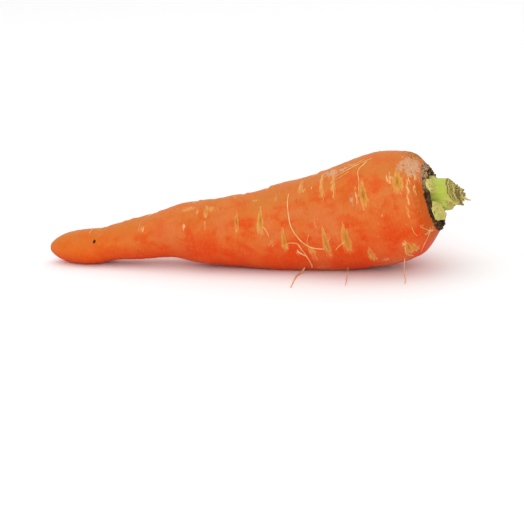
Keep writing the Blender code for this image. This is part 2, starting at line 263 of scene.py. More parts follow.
SHOULDER_SWELLING = (4.8, -20, 9.0, 3.2, 1.1)

# Marks as (distance from the rim, angle, half width round, half length along, strength).
DRY_MARKS = [
    (4.7, 25, 6.5, 3.6, 1.0), (8.6, 31, 3.0, 1.8, 0.7), (3.4, 12, 5.0, 2.2, 0.7),
    (37.0, 20, 3.2, 6.0, 0.75), (31.0, 16, 2.4, 4.0, 0.5), (29.5, 60, 3.0, 1.8, 0.5),
]
# Paler patches of skin. The last three, on the underside, are painted bounce light that lightens the lower
# side.
HAZE_AND_BOUNCE_MARKS = [
    (42.0, 76, 9.0, 9.0, 1.0), (56.0, 60, 7.0, 7.0, 0.8), (88.0, 60, 7.0, 6.5, 1.0),
    (66.0, 80, 5.0, 6.0, 0.6), (29.0, 66, 4.0, 3.0, 0.7), (112.0, 66, 7.0, 10.0, 0.9),
    (17.0, 140, 9.0, 7.0, 1.0), (20.0, 156, 9.0, 9.0, 1.0), (48.0, 148, 9.0, 9.0, 0.6),
]
PALE_MARKS = [
    (5.9, 47, 2.4, 0.6, 0.9), (6.6, 60, 3.0, 0.55, 0.9), (7.4, 74, 2.2, 0.5, 0.6),
    (3.6, 46, 2.0, 0.5, 0.8), (4.3, 62, 2.6, 0.5, 0.7), (9.3, 66, 2.2, 0.4, 0.35),
    (3.4, 128, 1.6, 1.2, 0.9), (5.2, 110, 0.7, 0.6, 0.7), (12.1, 120, 0.9, 0.9, 0.5),
    (22.0, 137, 1.0, 2.0, 0.6), (13.4, 121, 1.2, 0.9, 0.9), (13.2, 44, 2.3, 1.3, 0.9),
    (42.0, 32, 6.0, 0.55, 0.9), (37.0, 40, 6.5, 0.6, 0.9), (36.2, 33, 4.0, 0.4, 0.5),
    (27.4, 56, 4.5, 0.5, 0.8), (23.2, 58, 3.0, 0.4, 0.4), (27.0, 126, 2.0, 0.9, 0.9),
    (49.0, 141, 0.35, 3.2, 0.9), (52.2, 21, 3.0, 0.5, 0.5), (50.2, 33, 1.0, 1.1, 0.6),
    (46.6, 34, 0.9, 0.9, 0.5), (104.9, 67, 1.4, 0.5, 0.9), (95.4, 58, 3.4, 0.4, 0.6),
    (99.5, 40, 2.2, 0.5, 0.5), (123.3, 55, 1.6, 2.2, 0.5), (67.0, 97, 1.5, 2.2, 0.4),
    (73.5, 27, 0.6, 1.8, 0.6), (18.4, 84, 0.6, 0.5, 0.5), (56.4, 113, 1.3, 1.0, 0.8),
]
OCHRE_MARKS = [
    (50.6, 112, 2.2, 1.3, 0.6), (50.4, 122, 2.0, 1.2, 0.35), (8.8, 52, 2.4, 1.0, 0.8),
    (10.6, 133, 2.6, 1.1, 0.9), (104.0, 28, 1.4, 3.0, 0.5), (8.4, 86, 3.0, 0.5, 0.4),
    (93.0, 36, 1.2, 2.6, 0.5), (46.6, 80, 3.0, 0.5, 0.3),
]
DARK_MARKS = [
    (10.1, 49, 0.8, 0.45, 0.9), (24.6, 58, 1.8, 0.6, 0.9), (70.8, 64, 2.4, 0.35, 0.9),
    (81.4, 62, 2.4, 0.35, 0.9), (37.1, 37, 1.0, 0.3, 0.8), (51.6, 25, 1.4, 0.35, 0.6),
    (95.6, 37, 1.2, 0.35, 0.8), (53.6, 47, 2.2, 0.3, 0.6), (127.2, 113, 1.1, 0.3, 0.5),
    (125.6, 120, 1.0, 0.3, 0.4), (119.2, 63, 0.9, 0.3, 0.5), (136.0, 77, 0.7, 0.5, 0.3),
    (43.6, 108, 1.6, 0.5, 0.6), (61.4, 96, 1.6, 0.4, 0.7), (35.0, 106, 1.4, 0.6, 0.4),
    # The last mark is a wide olive patch on the back of the shoulder, by the crown, which darkens the top
    # edge there.
    (5.4, -21, 8.0, 4.0, 1.2),
]
SPECK = (145.8, 63, 1.0, 0.75, 1.0)
RED_MARKS = [
    (95.4, 103, 6.0, 7.0, 1.0), (17.0, 100, 11.0, 4.0, 0.8), (45.0, 45, 5.0, 2.0, 0.5),
    (50.0, 60, 4.0, 2.0, 0.4), (36.0, 140, 8.0, 16.0, 0.4), (60.0, 130, 7.0, 14.0, 0.7),
    (81.0, 118, 6.0, 9.0, 0.6), (130.0, 120, 4.0, 12.0, 0.5), (79.0, 28, 3.5, 4.0, 0.5),
]


def soft_noise(places, seed):
    """Smooth noise from -1 to 1: a seeded lattice of random numbers, blended between its corners."""
    lattice = np.random.default_rng(seed).uniform(-1, 1, (LATTICE, LATTICE, LATTICE))
    low = np.floor(places).astype(int)
    share = places - low
    share = share * share * (3 - 2 * share)
    total = np.zeros(places.shape[:-1])
    for corner in np.ndindex(2, 2, 2):
        weight = np.prod(np.where(corner, share, 1 - share), axis=-1)
        spot = (low + corner) % LATTICE
        total += weight * lattice[spot[..., 0], spot[..., 1], spot[..., 2]]
    return total


def straightened(along, angle, radius):
    """The skin's places on a root with a straight axis, where the textures are laid out."""
    return np.stack([along, radius * np.sin(angle), radius * np.cos(angle)], -1)


def stretched_noise(straight, size, seed):
    """Noise with one size along the root and another round it."""
    along_size, round_size = size
    return soft_noise(straight / np.array([along_size, round_size, round_size]), seed)


def bell(along, angle, radius, mark, power=2.0, taper=0.0):
    """A soft spot on the skin, 1 in its middle. A taper draws its upper end out to a point."""
    place, degrees, half_width, half_length, strength = mark
    round_it = angle_between(angle, math.radians(degrees)) * radius / half_width
    slimmer = 1 - taper * np.clip((1 - round_it) / 2, 0, 1)
    along_it = (along - place) / (half_length * slimmer)
    return strength * np.exp(-((round_it**2 + along_it**2) ** (power / 2)))


def spots(along, angle, radius, marks, power=2.0, taper=0.0):
    """The strongest of several soft spots, everywhere on the skin."""
    total = np.zeros_like(along)
    for mark in marks:
        near = np.abs(along[:, 0] - mark[0]) < BELL_REACH * mark[3] + SPOT_MARGIN
        rows = bell(along[near], angle[near], radius[near], mark, power, taper)
        total[near] = np.maximum(total[near], rows)
    return total


def scar_marks(share_round, share_along):
    """The scars as marks, with half sizes that are these shares of theirs."""
    return [
        (place, math.degrees(middle), width * share_round, length * share_along, tone)
        for place, middle, width, length, tone in all_scars()
    ]


def crease_relief(along, angle):
    """Hairline creases across the root, each over a few rings of the mesh."""
    out = np.zeros_like(along)
    for crease in creases(*HAIRLINES):
        place, *_, width, _ = crease
        near = np.abs(along[:, 0] - place) < BELL_REACH * width + CREASE_MARGIN
        out[near] -= crease_depth(along[near], angle[near], crease)
    return out


def pore_relief(along, angle, radius):
    """Small pores and warts, scattered over the skin."""
    random = np.random.default_rng(PORE_SEED)
    out = np.zeros_like(along)
    for _ in range(PORE_COUNT):
        size = random.uniform(*PORE_RADIUS)
        height = random.uniform(*PORE_HEIGHT)
        place, degrees = random.uniform(*PORE_PLACES), random.uniform(0, 360)
        mark = (place, degrees, PORE_WIDENING * size, size, height)
        near = np.abs(along[:, 0] - place) < BELL_REACH * size
        out[near] += bell(along[near], angle[near], radius[near], mark)
    return out


def collar_share(along):
    """1 on the crown's floor, rim and collar, falling to 0 where the orange skin starts."""
    return np.clip((COLLAR_END - along) / COLLAR_FADE, 0, 1)


def fine_relief(along, angle, radius):
    """Everything that the CAD root has no room for."""
    straight = straightened(along, angle, radius)
    body = np.clip(along / END_FADE, 0, 1) * np.clip((ROOT_LENGTH - along) / END_FADE, 0, 1)
    out = WAVE_HEIGHT * stretched_noise(straight, WAVE_SIZE, 1)
    out += FINE_HEIGHT * stretched_noise(straight, FINE_SIZE, 2)
    out += crease_relief(along, angle) + pore_relief(along, angle, radius)
    out -= SLIT_DEPTH * spots(along, angle, radius, scar_marks(SLIT_SHARE, SLIT_WIDTH / 2))
    crown_marks = [mark for mark in PALE_MARKS if mark[0] < CROWN_PALE_END]
    out -= CROWN_PALE_DEPTH * spots(along, angle, radius, crown_marks)
    out += SPECK_HEIGHT * spots(along, angle, radius, [SPECK])
    collar = collar_share(along)
    rough = stretched_noise(straight, (COLLAR_SIZE, COLLAR_SIZE), 3)
    rings = np.sin(radius * COLLAR_RING_RATE + COLLAR_RING_WAVER * rough)
    swelling = spots(along, angle, radius, [SHOULDER_SWELLING])
    rind = COLLAR_ROUGH * rough + COLLAR_RINGS * rings
    return out * body + swelling + collar * COLLAR_HEIGHT * rind


print("fine creases:", len(creases(*HAIRLINES)), "pores:", PORE_COUNT)

# %% [markdown]
# Meshes from rings
#
# Nearly every grown part here is a row of rings with a skin over them, closed at both ends. One
# function makes them all, so the ends and the seam are always closed and the faces look outwards.

# %% Mesh tools
SAME_POINT = 0.001


def add_mesh(name, points, faces, material, attributes):
    """A smooth mesh object in metres, with float or vector attributes on its points."""
    mesh = bpy.data.meshes.new(name)
    mesh.from_pydata((points * MM).tolist(), [], faces)
    for label, values in attributes.items():
        kind, field = ("FLOAT_VECTOR", "vector") if values.ndim == 2 else ("FLOAT", "value")
        layer = mesh.attributes.new(label, kind, "POINT")
        layer.data.foreach_set(field, np.ascontiguousarray(values, np.float32).ravel())
    closed = bmesh.new()
    closed.from_mesh(mesh)
    bmesh.ops.remove_doubles(closed, verts=closed.verts, dist=SAME_POINT * MM)
    bmesh.ops.recalc_face_normals(closed, faces=closed.faces)
    closed.to_mesh(mesh)
    closed.free()
    mesh.materials.append(material)
    mesh.shade_smooth()
    made = bpy.data.objects.new(name, mesh)
    bpy.context.scene.collection.objects.link(made)
    return made


def ring_faces(rings, sides, start, fans):
    """Quads between neighbouring rings and, where asked, a fan of triangles at each end."""
    index = start + np.arange(rings * sides).reshape(rings, sides)
    right = np.roll(index, -1, axis=1)
    faces = np.stack([index[:-1], index[1:], right[1:], right[:-1]], -1).reshape(-1, 4).tolist()
    if fans:
        first, last = start + rings * sides, start + rings * sides + 1
        faces += [(first, int(a), int(b)) for a, b in zip(index[0], right[0])]
        faces += [(last, int(b), int(a)) for a, b in zip(index[-1], right[-1])]
    return faces


def ring_values(values, fans):
    """Ring values as one list, followed by the end rings' means where fans need them."""
    flat = values.reshape((-1,) + values.shape[2:])
    if not fans:
        return flat
    ends = np.stack([values[0].mean(axis=0), values[-1].mean(axis=0)])
    return np.concatenate([flat, ends])


def ring_object(name, bodies, material, fans=True):
    """One object of several closed ring bodies: each a dictionary of points and attributes."""
    faces, lists, start = [], {}, 0
    for body in bodies:
        rings, sides = body["points"].shape[:2]
        faces += ring_faces(rings, sides, start, fans)
        start += rings * sides + (2 if fans else 0)
        for label, values in body.items():
            lists.setdefault(label, []).append(ring_values(values, fans))
    joined = {label: np.concatenate(values) for label, values in lists.items()}
    return add_mesh(name, joined.pop("points"), faces, material, joined)


# %% [markdown]
# Node tools
#
# A material or a Geometry Nodes tree is a list of nodes with values or links on their inputs. The
# first function adds one node at a time and takes either, which keeps each tree short to read.

# %% Node tools
def node(tree, kind, inputs={}, **settings):
    """Adds a node. Each input is given by name or number and is a value or another node's socket."""
    made = tree.nodes.new(kind)
    for label, value in settings.items():
        setattr(made, label, value)
    for label, value in inputs.items():
        if isinstance(value, bpy.types.NodeSocket):
            tree.links.new(value, made.inputs[label])
        else:
            made.inputs[label].default_value = value
    return made


def attribute(tree, label, output="Fac"):
    return node(tree, "ShaderNodeAttribute", attribute_name=label).outputs[output]


def calculate(tree, operation, a, b=0.0, c=0.0):
    return node(tree, "ShaderNodeMath", {0: a, 1: b, 2: c}, operation=operation).outputs[0]


def vector_math(tree, operation, a, b):
    inputs = {0: a, "Scale": b} if operation == "SCALE" else {0: a, 1: b}
    return node(tree, "ShaderNodeVectorMath", inputs, operation=operation).outputs[0]


def times(tree, a, b):
    return calculate(tree, "MULTIPLY", a, b)


def remap(tree, value, low, high, to_low=0.0, to_high=1.0):
    """Moves a range of values to another range, and holds it at the ends."""
    inputs = {"Value": value, "From Min": low, "From Max": high, "To Min": to_low, "To Max": to_high}
    return node(tree, "ShaderNodeMapRange", inputs).outputs[0]


def blend(tree, share, a, b):
    """A mix of two colours, each a colour or a socket."""
    a, b = (value if isinstance(value, bpy.types.NodeSocket) else (*value, 1) for value in (a, b))
    return node(tree, "ShaderNodeMix", {0: share, 6: a, 7: b}, data_type="RGBA").outputs[2]


def texture_noise(tree, place, scale, detail=2.0, roughness=0.5):
    inputs = {"Vector": place, "Scale": scale, "Detail": detail, "Roughness": roughness}
    return node(tree, "ShaderNodeTexNoise", inputs).outputs[0]


def group(name, inputs, output):
    """An empty shader node group with one output, and inputs given as (name, kind, start value)."""
    tree = bpy.data.node_groups.new(name, "ShaderNodeTree")
    for label, kind, value in inputs:
        socket = tree.interface.new_socket(label, in_out="INPUT", socket_type=kind)
        if value is not None:
            socket.default_value = value
    tree.interface.new_socket(output, in_out="OUTPUT", socket_type="NodeSocketFloat")
    return tree, tree.nodes.new("NodeGroupInput").outputs, tree.nodes.new("NodeGroupOutput").inputs


def material_with_shader(name, roughness, specular=0.25, subsurface=0.0, radius=(1, 1, 1), scale=MM):
    """A new material and its Principled shader, with the constants that stay on its own sockets."""
    material = bpy.data.materials.new(name)
    material.use_nodes = True
    shader = material.node_tree.nodes["Principled BSDF"]
    values = {
        "Roughness": roughness,
        "Specular IOR Level": specular,
        "Subsurface Weight": subsurface,
        "Subsurface Radius": radius,
        "Subsurface Scale": scale,
    }
    for label, value in values.items():
        shader.inputs[label].default_value = value
    return material, material.node_tree, shader


def bump(tree, shader, height, strength, distance):
    """Fine relief that is too small for the mesh."""
    inputs = {"Strength": strength, "Distance": distance, "Height": height}
    tree.links.new(node(tree, "ShaderNodeBump", inputs).outputs[0], shader.inputs["Normal"])


# %% [markdown]
# Shared effects: plant grain and speckles
#
# Plants are never one flat colour. Two effects are node groups here: a slow mottling stretched the
# way that the cells grew, which three materials use, and small specks for the skin. They have named
# inputs, so that a material can ask for its own sizes and amounts.

# %% Shared node groups
SPECK_EDGE = 0.08
MOTTLING_DETAIL, MOTTLING_ROUGHNESS = 4.0, 0.6


def build_mottling():
    """Two sizes of stretched noise as one mask from 0 to 1."""
    inputs = [("Place", "NodeSocketVector", None), ("Along", "NodeSocketFloat", 0.1),
              ("Across", "NodeSocketFloat", 0.1), ("Contrast", "NodeSocketFloat", 2.0)]
    tree, given, result = group("plant_mottling", inputs, "Mask")
    rates = {0: given["Along"], 1: given["Across"], 2: given["Across"]}
    factors = node(tree, "ShaderNodeCombineXYZ", rates).outputs[0]
    place = vector_math(tree, "MULTIPLY", given["Place"], factors)
    noise = texture_noise(tree, place, 1.0, MOTTLING_DETAIL, MOTTLING_ROUGHNESS)
    spread = times(tree, calculate(tree, "SUBTRACT", noise, 0.5), given["Contrast"])
    mask = node(tree, "ShaderNodeMath", {0: spread, 1: 0.5}, operation="ADD", use_clamp=True).outputs[0]
    tree.links.new(mask, result["Mask"])
    return tree


def build_specks():
    """Small round specks, some of them left out by chance."""
    inputs = [("Place", "NodeSocketVector", None), ("Scale", "NodeSocketFloat", 1.0),
              ("Size", "NodeSocketFloat", 0.2), ("Share", "NodeSocketFloat", 0.5)]
    tree, given, result = group("specks", inputs, "Mask")
    cells = node(tree, "ShaderNodeTexVoronoi", {"Vector": given["Place"], "Scale": given["Scale"]}).outputs
    dot = remap(tree, calculate(tree, "SUBTRACT", given["Size"], cells["Distance"]), 0.0, SPECK_EDGE)
    chance = node(tree, "ShaderNodeSeparateColor", {0: cells["Color"]}).outputs[0]
    kept = calculate(tree, "LESS_THAN", chance, given["Share"])
    tree.links.new(times(tree, dot, kept), result["Mask"])
    return tree


MOTTLING = build_mottling()
SPECKS = build_specks()


def mottling(tree, place, along, across, contrast):
    inputs = {"Place": place, "Along": along, "Across": across, "Contrast": contrast}
    return node(tree, "ShaderNodeGroup", inputs, node_tree=MOTTLING).outputs["Mask"]


def specks(tree, place, scale, size, share):
    inputs = {"Place": place, "Scale": scale, "Size": size, "Share": share}
    return node(tree, "ShaderNodeGroup", inputs, node_tree=SPECKS).outputs["Mask"]


print("shared groups:", MOTTLING.name, SPECKS.name)

# %% [markdown]
# Layers of colour
#
# A material is described by three small tables. "Grains" are mottlings, "ranges" are parts of other
# masks, and "layers" are colours laid over each other. So a colour or an edge is changed in its
# table, without touching any node.

# %% Layers of colour
# A grain is (rate along, rate across, contrast). A range is (mask, where it starts, where it is
# full, and the values there if they aren't 0 and 1). A layer is (mask, where it starts and where it
# is full, the mask that makes its edge ragged and how much, amount, colour). An amount or a colour
# can also be the name of a mask.
WHOLE = (0.0, 1.0)
SMOOTH = (None, 0.0)
EMPTY_EDGE = 0.2


def ragged(tree, mask, noise, low, high, amount=0.5):
    """A mask whose edge is broken up by noise, but which stays empty where it was empty."""
    shift = times(tree, calculate(tree, "SUBTRACT", noise, 0.5), amount)
    shift = times(tree, shift, remap(tree, mask, 0.0, EMPTY_EDGE))
    return remap(tree, calculate(tree, "ADD", mask, shift), low, high)


def make_masks(tree, place, grains, attributes):
    """Masks by name: the mottlings, and the attributes that the mesh brings."""
    masks = {label: mottling(tree, place, *sizes) for label, sizes in grains.items()}
    masks.update({label: attribute(tree, label) for label in attributes})
    return masks


def add_ranges(tree, masks, ranges):
    for label, (source, *limits) in ranges.items():
        masks[label] = remap(tree, masks[source], *limits)


def layered(tree, masks, colour, layers):
    """Lays the layers over a colour, from the first to the last."""
    for label, limits, (noise, raggedness), amount, top in layers:
        if noise:
            shape = ragged(tree, masks[label], masks[noise], *limits, raggedness)
        else:
            shape = remap(tree, masks[label], *limits)
        shape = times(tree, shape, masks.get(amount, amount))
        colour = blend(tree, shape, colour, masks[top] if isinstance(top, str) else top)
    return colour


# %% [markdown]
# The carrot's skin
#
# Washed carrot skin is satin and lets a little light in. It is palest on the upper side, partly as paler
# dried skin and partly as a painted sheen of the overhead light, redder and darker below as painted
# shade, yellower at the tip, and banded across by its pores. The scars are ochre with an olive slit.
# The crown is brown with soil, and black with painted shade where its recess meets the stalks.

# %% Skin material
ORANGE = (0.71, 0.120, 0.013)
ORANGE_PALE = (0.70, 0.185, 0.040)
# Red blotches, and also the painted shade on the underside.
ORANGE_RED_AND_SHADE = (0.71, 0.038, 0.001)
# Pore bands, and also the painted sheen of the overhead light on the upper side.
ORANGE_TOP_AND_SHEEN = (0.57, 0.182, 0.030)
ORANGE_TIP = (0.72, 0.140, 0.008)
# Paler patches, and the painted bounce light on the underside.
ORANGE_HAZE_AND_BOUNCE = (0.69, 0.185, 0.055)
# Painted shade by the crown's rim.
ORANGE_BROWN_SHADE = (0.48, 0.085, 0.006)
SPECK_PALE = (0.84, 0.40, 0.14)
SKIN_SHADE = (0.42, 0.09, 0.012)
DRY_SKIN = (0.57, 0.385, 0.235)
PALE_LINE = (0.86, 0.50, 0.20)
OCHRE = (0.60, 0.25, 0.022)
OCHRE_LIGHT = (0.68, 0.39, 0.07)
OLIVE = (0.22, 0.12, 0.015)
SOIL_BROWN = (0.11, 0.058, 0.022)
# Soil, and the painted shade in the crown's recess.
SOIL_AND_SHADE_BLACK = (0.018, 0.012, 0.008)
SOIL_TAN = (0.43, 0.26, 0.135)
SKIN_GRAINS = {
    "slow": (0.05, 0.08, 3.0), "blotches": (0.15, 0.2, 4.5), "wide": (0.06, 0.12, 2.0),
    "broad": (0.07, 0.1, 2.5), "strokes": (2.2, 0.5, 3.5), "dashes": (1.1, 0.3, 4.5),
    "fine": (1.3, 0.9, 2.5), "streaks": (1.8, 0.35, 3.0), "bands": (0.55, 0.07, 3.5),
    "flakes": (0.8, 0.6, 4.0), "lines": (2.6, 0.4, 5.0), "clods": (0.7, 0.7, 4.0),
    "patches": (1.3, 0.6, 4.0),
}
SKIN_ATTRIBUTES = ("upward", "haze_and_bounce", "red", "dry", "pale", "ochre", "slit", "speck", "collar")
SKIN_RANGES = {
    "underside": ("upward", 0.25, -0.9), "upper side": ("upward", 0.1, 1.0),
    "neck": ("along", 7.5, 2.5), "neck side": ("upward", 0.85, 0.5, 0.2, 0.8),
    "dryness": ("fine", 0.15, 0.6, 0.35, 0.85), "light lines": ("lines", 0.45, 1.0),
    "crown top": ("upward", 0.3, 0.8), "bare patches": ("patches", 0.0, 0.7),
}
SKIN_LAYERS = [
    ("slow", WHOLE, SMOOTH, 1.0, ORANGE_PALE),
    ("blotches", (0.5, 1.0), SMOOTH, 0.55, ORANGE_PALE),
    ("blotches", (0.5, 0.0), SMOOTH, 0.6, ORANGE_RED_AND_SHADE),
    ("along", (105.0, 160.0), SMOOTH, 0.75, ORANGE_TIP),
    # Painted shade: the underside is made redder and darker, for the shade and orange bounce light below the
    # root.
    ("underside", (0.1, 1.1), ("wide", 0.5), 0.95, ORANGE_RED_AND_SHADE),
    # Partly a painted sheen of the overhead light on the upper side, partly paler skin.
    ("upper side", (0.1, 1.0), ("broad", 0.8), 0.8, ORANGE_TOP_AND_SHEEN),
    # Paler patches, and painted bounce light on the underside.
    ("haze_and_bounce", (0.1, 1.0), ("blotches", 0.5), 0.6, ORANGE_HAZE_AND_BOUNCE),
    ("red", (0.2, 1.0), ("fine", 0.5), 0.8, ORANGE_RED_AND_SHADE),
    ("bands", WHOLE, SMOOTH, 0.12, ORANGE_TOP_AND_SHEEN),
    ("fine", WHOLE, SMOOTH, 0.10, ORANGE_RED_AND_SHADE),
    ("strokes", (0.6, 1.0), SMOOTH, 0.08, SPECK_PALE),
    ("dashes", (0.25, 0.0), SMOOTH, 0.10, SKIN_SHADE),
    # Painted shade: a browner band next to the crown's rim, stronger on the sides and below than on top.
    ("neck", (0.1, 0.9), ("fine", 0.5), "neck side", ORANGE_BROWN_SHADE),
    ("dots", WHOLE, SMOOTH, 0.45, SPECK_PALE),
    ("dry", (0.3, 0.75), ("flakes", 0.7), "dryness", DRY_SKIN),
    ("pale", (0.4, 0.75), ("lines", 0.9), 0.8, PALE_LINE),
    ("ochre", (0.32, 0.7), ("torn", 1.0), 0.85, "ochre tone"),
    ("scar rim", WHOLE, SMOOTH, 0.3, PALE_LINE),
    ("slit", (0.4, 0.85), ("lines", 0.9), 0.75, OLIVE),
    ("speck", (0.35, 0.6), ("streaks", 0.5), 1.0, SOIL_AND_SHADE_BLACK),
    ("rough collar", WHOLE, SMOOTH, 1.0, "soil"),
]
# The collar's colour: its black base is painted shade of the recess between the skin and the stalks; brown
# clods and tan soil on its upper part lie over it.
SOIL_AND_SHADE_LAYERS = [
    ("clods", WHOLE, SMOOTH, 1.0, SOIL_BROWN),
    ("crown top", (0.2, 0.8), ("streaks", 0.5), "bare patches", SOIL_TAN),
]
SCAR_RIM = (0.12, 0.4, 0.7)
COLLAR_EDGE = (0.35, 0.6, 0.6)
DOTS_ACROSS, DOTS = 0.7, (0.6, 0.15, 0.2)
SKIN_ROUGHNESS, DULL_ROUGHNESS = (0.36, 0.51), 0.85
BANDS_BUMP, FINE_BUMP, SKIN_BUMP = 0.6, 0.5, (0.35, 0.0002)


def build_skin_material():
    """The washed skin, its scars and dry patches, its painted shade and sheen, and the soil on the crown
    with its painted shade.
    """
    material, tree, shader = material_with_shader(
        "carrot_skin", roughness=0.4, specular=0.06, subsurface=0.12,
        radius=(1.0, 0.25, 0.05), scale=1.2 * MM)
    place = attribute(tree, "straight", "Vector")
    masks = make_masks(tree, place, SKIN_GRAINS, SKIN_ATTRIBUTES)
    masks["along"] = node(tree, "ShaderNodeSeparateXYZ", {0: place}).outputs[0]
    add_ranges(tree, masks, SKIN_RANGES)
    squeezed = vector_math(tree, "MULTIPLY", place, (1.0, DOTS_ACROSS, DOTS_ACROSS))
    masks["dots"] = specks(tree, squeezed, *DOTS)
    masks["torn"] = times(tree, calculate(tree, "ADD", masks["flakes"], masks["lines"]), 0.5)
    masks["ochre tone"] = blend(tree, masks["light lines"], OCHRE, OCHRE_LIGHT)
    start, full, end = SCAR_RIM
    wider = ragged(tree, masks["ochre"], masks["lines"], start, full)
    slimmer = ragged(tree, masks["ochre"], masks["lines"], full, end)
    masks["scar rim"] = calculate(tree, "SUBTRACT", wider, slimmer)
    masks["rough collar"] = ragged(tree, masks["collar"], masks["fine"], *COLLAR_EDGE)
    # The collar's soil: black with painted shade below its tan top.
    masks["soil"] = layered(tree, masks, SOIL_AND_SHADE_BLACK, SOIL_AND_SHADE_LAYERS)
    tree.links.new(layered(tree, masks, ORANGE, SKIN_LAYERS), shader.inputs["Base Color"])
    rough = remap(tree, masks["fine"], *WHOLE, *SKIN_ROUGHNESS)
    dull = calculate(tree, "MAXIMUM", masks["rough collar"], masks["dry"])
    tree.links.new(remap(tree, dull, *WHOLE, rough, DULL_ROUGHNESS), shader.inputs["Roughness"])
    height = times(tree, masks["bands"], BANDS_BUMP)
    height = calculate(tree, "ADD", height, times(tree, masks["fine"], FINE_BUMP))
    bump(tree, shader, height, *SKIN_BUMP)
    return material


SKIN = build_skin_material()
print("skin nodes:", len(SKIN.node_tree.nodes))

# %% [markdown]
# The root
#
# The outline is sampled at about a third of a millimetre, floor of the crown included, and each
# ring has enough points for marks a millimetre wide. Coarse relief moves a point away from the
# axis, as in the CAD. Fine relief moves it square to the skin, which also works on the crown's floor.

# %% Root mesh
RINGS, SEGMENTS = 556, 160
FIRST_RADIUS, LAST_RADIUS = 0.35, 0.12
# The ochre and the slits as shares of the scars' sizes, how flat-topped they are, and their taper.
OCHRE_SHARES, SLIT_SHARES, SLIT_CLEARNESS = (0.8, 0.9), (0.4, 0.24), 0.8
OCHRE_POWER, SLIT_POWER, SCAR_TAPER = 3.0, 2.0, 0.65
RIM_RADIUS, RIM_DEPTH, COLLAR_SOIL = 12.5, 3, 0.15


def outline_grid():
    """Distances, radii and outline normals of every ring."""
    corners = np.array([(FLOOR_DEPTH, FIRST_RADIUS)] + OUTLINE)
    run = np.concatenate([[0], np.cumsum(np.hypot(*np.diff(corners, axis=0).T))])
    places = np.linspace(0, run[-1] - LAST_RADIUS, RINGS)
    on_floor = places < run[1]
    along = np.where(on_floor, FLOOR_DEPTH, smooth(np.column_stack([run[1:], corners[1:, 0]]), places))
    radius = smooth(np.column_stack([run[1:], corners[1:, 1]]), places)
    radius = np.where(on_floor, FIRST_RADIUS + places, radius)
    direction = unit(np.stack([np.gradient(along, places), np.gradient(radius, places)], -1))
    return along, radius, np.stack([-direction[:, 1], direction[:, 0]], -1)


def skin_places(along, angle, radius, extra_along=0.0, extra_round=0.0):
    """Points of the skin, pressed flat where they would sink into the surface below."""
    middle, outward, up, front = axis_frame(along)
    out = (radius + relief(along, angle, radius) + extra_round)[..., None]
    points = middle + out * (up * np.cos(angle)[..., None] + front * np.sin(angle)[..., None])
    points -= outward * np.broadcast_to(extra_along, along.shape)[..., None]
    points[..., 2] = np.maximum(points[..., 2], 0.0)
    return points


def build_root():
    line_along, line_radius, normal = outline_grid()
    angle = np.broadcast_to(np.linspace(0, TURN, SEGMENTS, endpoint=False), (RINGS, SEGMENTS))
    along = np.repeat(line_along[:, None], SEGMENTS, axis=1)
    radius = np.repeat(line_radius[:, None], SEGMENTS, axis=1)
    fine = fine_relief(along, angle, radius)
    points = skin_places(along, angle, radius, normal[:, :1] * fine, normal[:, 1:] * fine)
    ochre = spots(along, angle, radius, scar_marks(*OCHRE_SHARES), OCHRE_POWER, SCAR_TAPER)
    slit = spots(along, angle, radius, scar_marks(*SLIT_SHARES), SLIT_POWER, SCAR_TAPER)
    marks = {"ochre": OCHRE_MARKS, "slit": DARK_MARKS, "pale": PALE_MARKS, "dry": DRY_MARKS,
             "haze_and_bounce": HAZE_AND_BOUNCE_MARKS, "red": RED_MARKS, "speck": [SPECK]}
    body = {label: spots(along, angle, radius, places) for label, places in marks.items()}
    body["ochre"] = np.maximum(body["ochre"], ochre)
    body["slit"] = np.maximum(body["slit"], SLIT_CLEARNESS * slit)
    inside_rim = ((radius < RIM_RADIUS) & (along < RIM_DEPTH)).astype(float)
    body["collar"] = np.maximum(collar_share(along), inside_rim)
    body["soil"] = np.maximum(inside_rim, COLLAR_SOIL * collar_share(along))
    body["points"] = points
    body["straight"] = straightened(along, angle, radius)
    body["upward"] = np.cos(angle) * np.ones_like(along)
    return ring_object("carrot_root", [body], SKIN)


root = build_root()
print("root:", len(root.data.vertices), "points,", len(root.data.polygons), "faces")

# %% [markdown]
# Stalk materials
#
# A leaf stalk's base is smooth, juicy and yellow-green. It is whitish where it was covered at its
# foot and it turns brown from its cut edge down. The inner stalks have dried to brown fibre.
# Both materials follow the stalk: "share" runs from 0 at the foot to 1 at the cut, "side" is 0 on
# the middle of its back and 1 at its edges, and "grain" is a place laid out along the stalk.

# %% Stalk materials
GREEN = (0.37, 0.48, 0.045)
GREEN_YELLOW = (0.50, 0.55, 0.055)
GREEN_PALE = (0.66, 0.61, 0.18)
CUT_BEIGE = (0.50, 0.41, 0.105)
CUT_BROWN = (0.15, 0.095, 0.03)
CUT_PALE = (0.62, 0.53, 0.165)
GREEN_GRAINS = {"slow": (0.16, 0.35, 2.5), "fibres": (0.12, 2.6, 3.0), "spots": (0.9, 1.1, 4.0)}
GREEN_RANGES = {
    "foot": ("share", 0.35, 0.0), "edges": ("side", 0.45, 1.0), "near the cut": ("share", 0.78, 1.0),
    "brink": ("share", 0.92, 1.0), "fresh": ("paleness", 0.0, 0.5, 1.0, 0.0),
    "unbroken": ("slow", 0.2, 0.6, 0.5, 1.0),
}
FACE_LAYERS = [
    ("slow", (0.4, 1.2), SMOOTH, 1.0, GREEN_YELLOW),
    ("rings", (-0.1, 0.6), SMOOTH, "ring amount", CUT_BROWN),
    ("paleness", (0.1, 0.9), SMOOTH, 0.85, CUT_PALE),
]
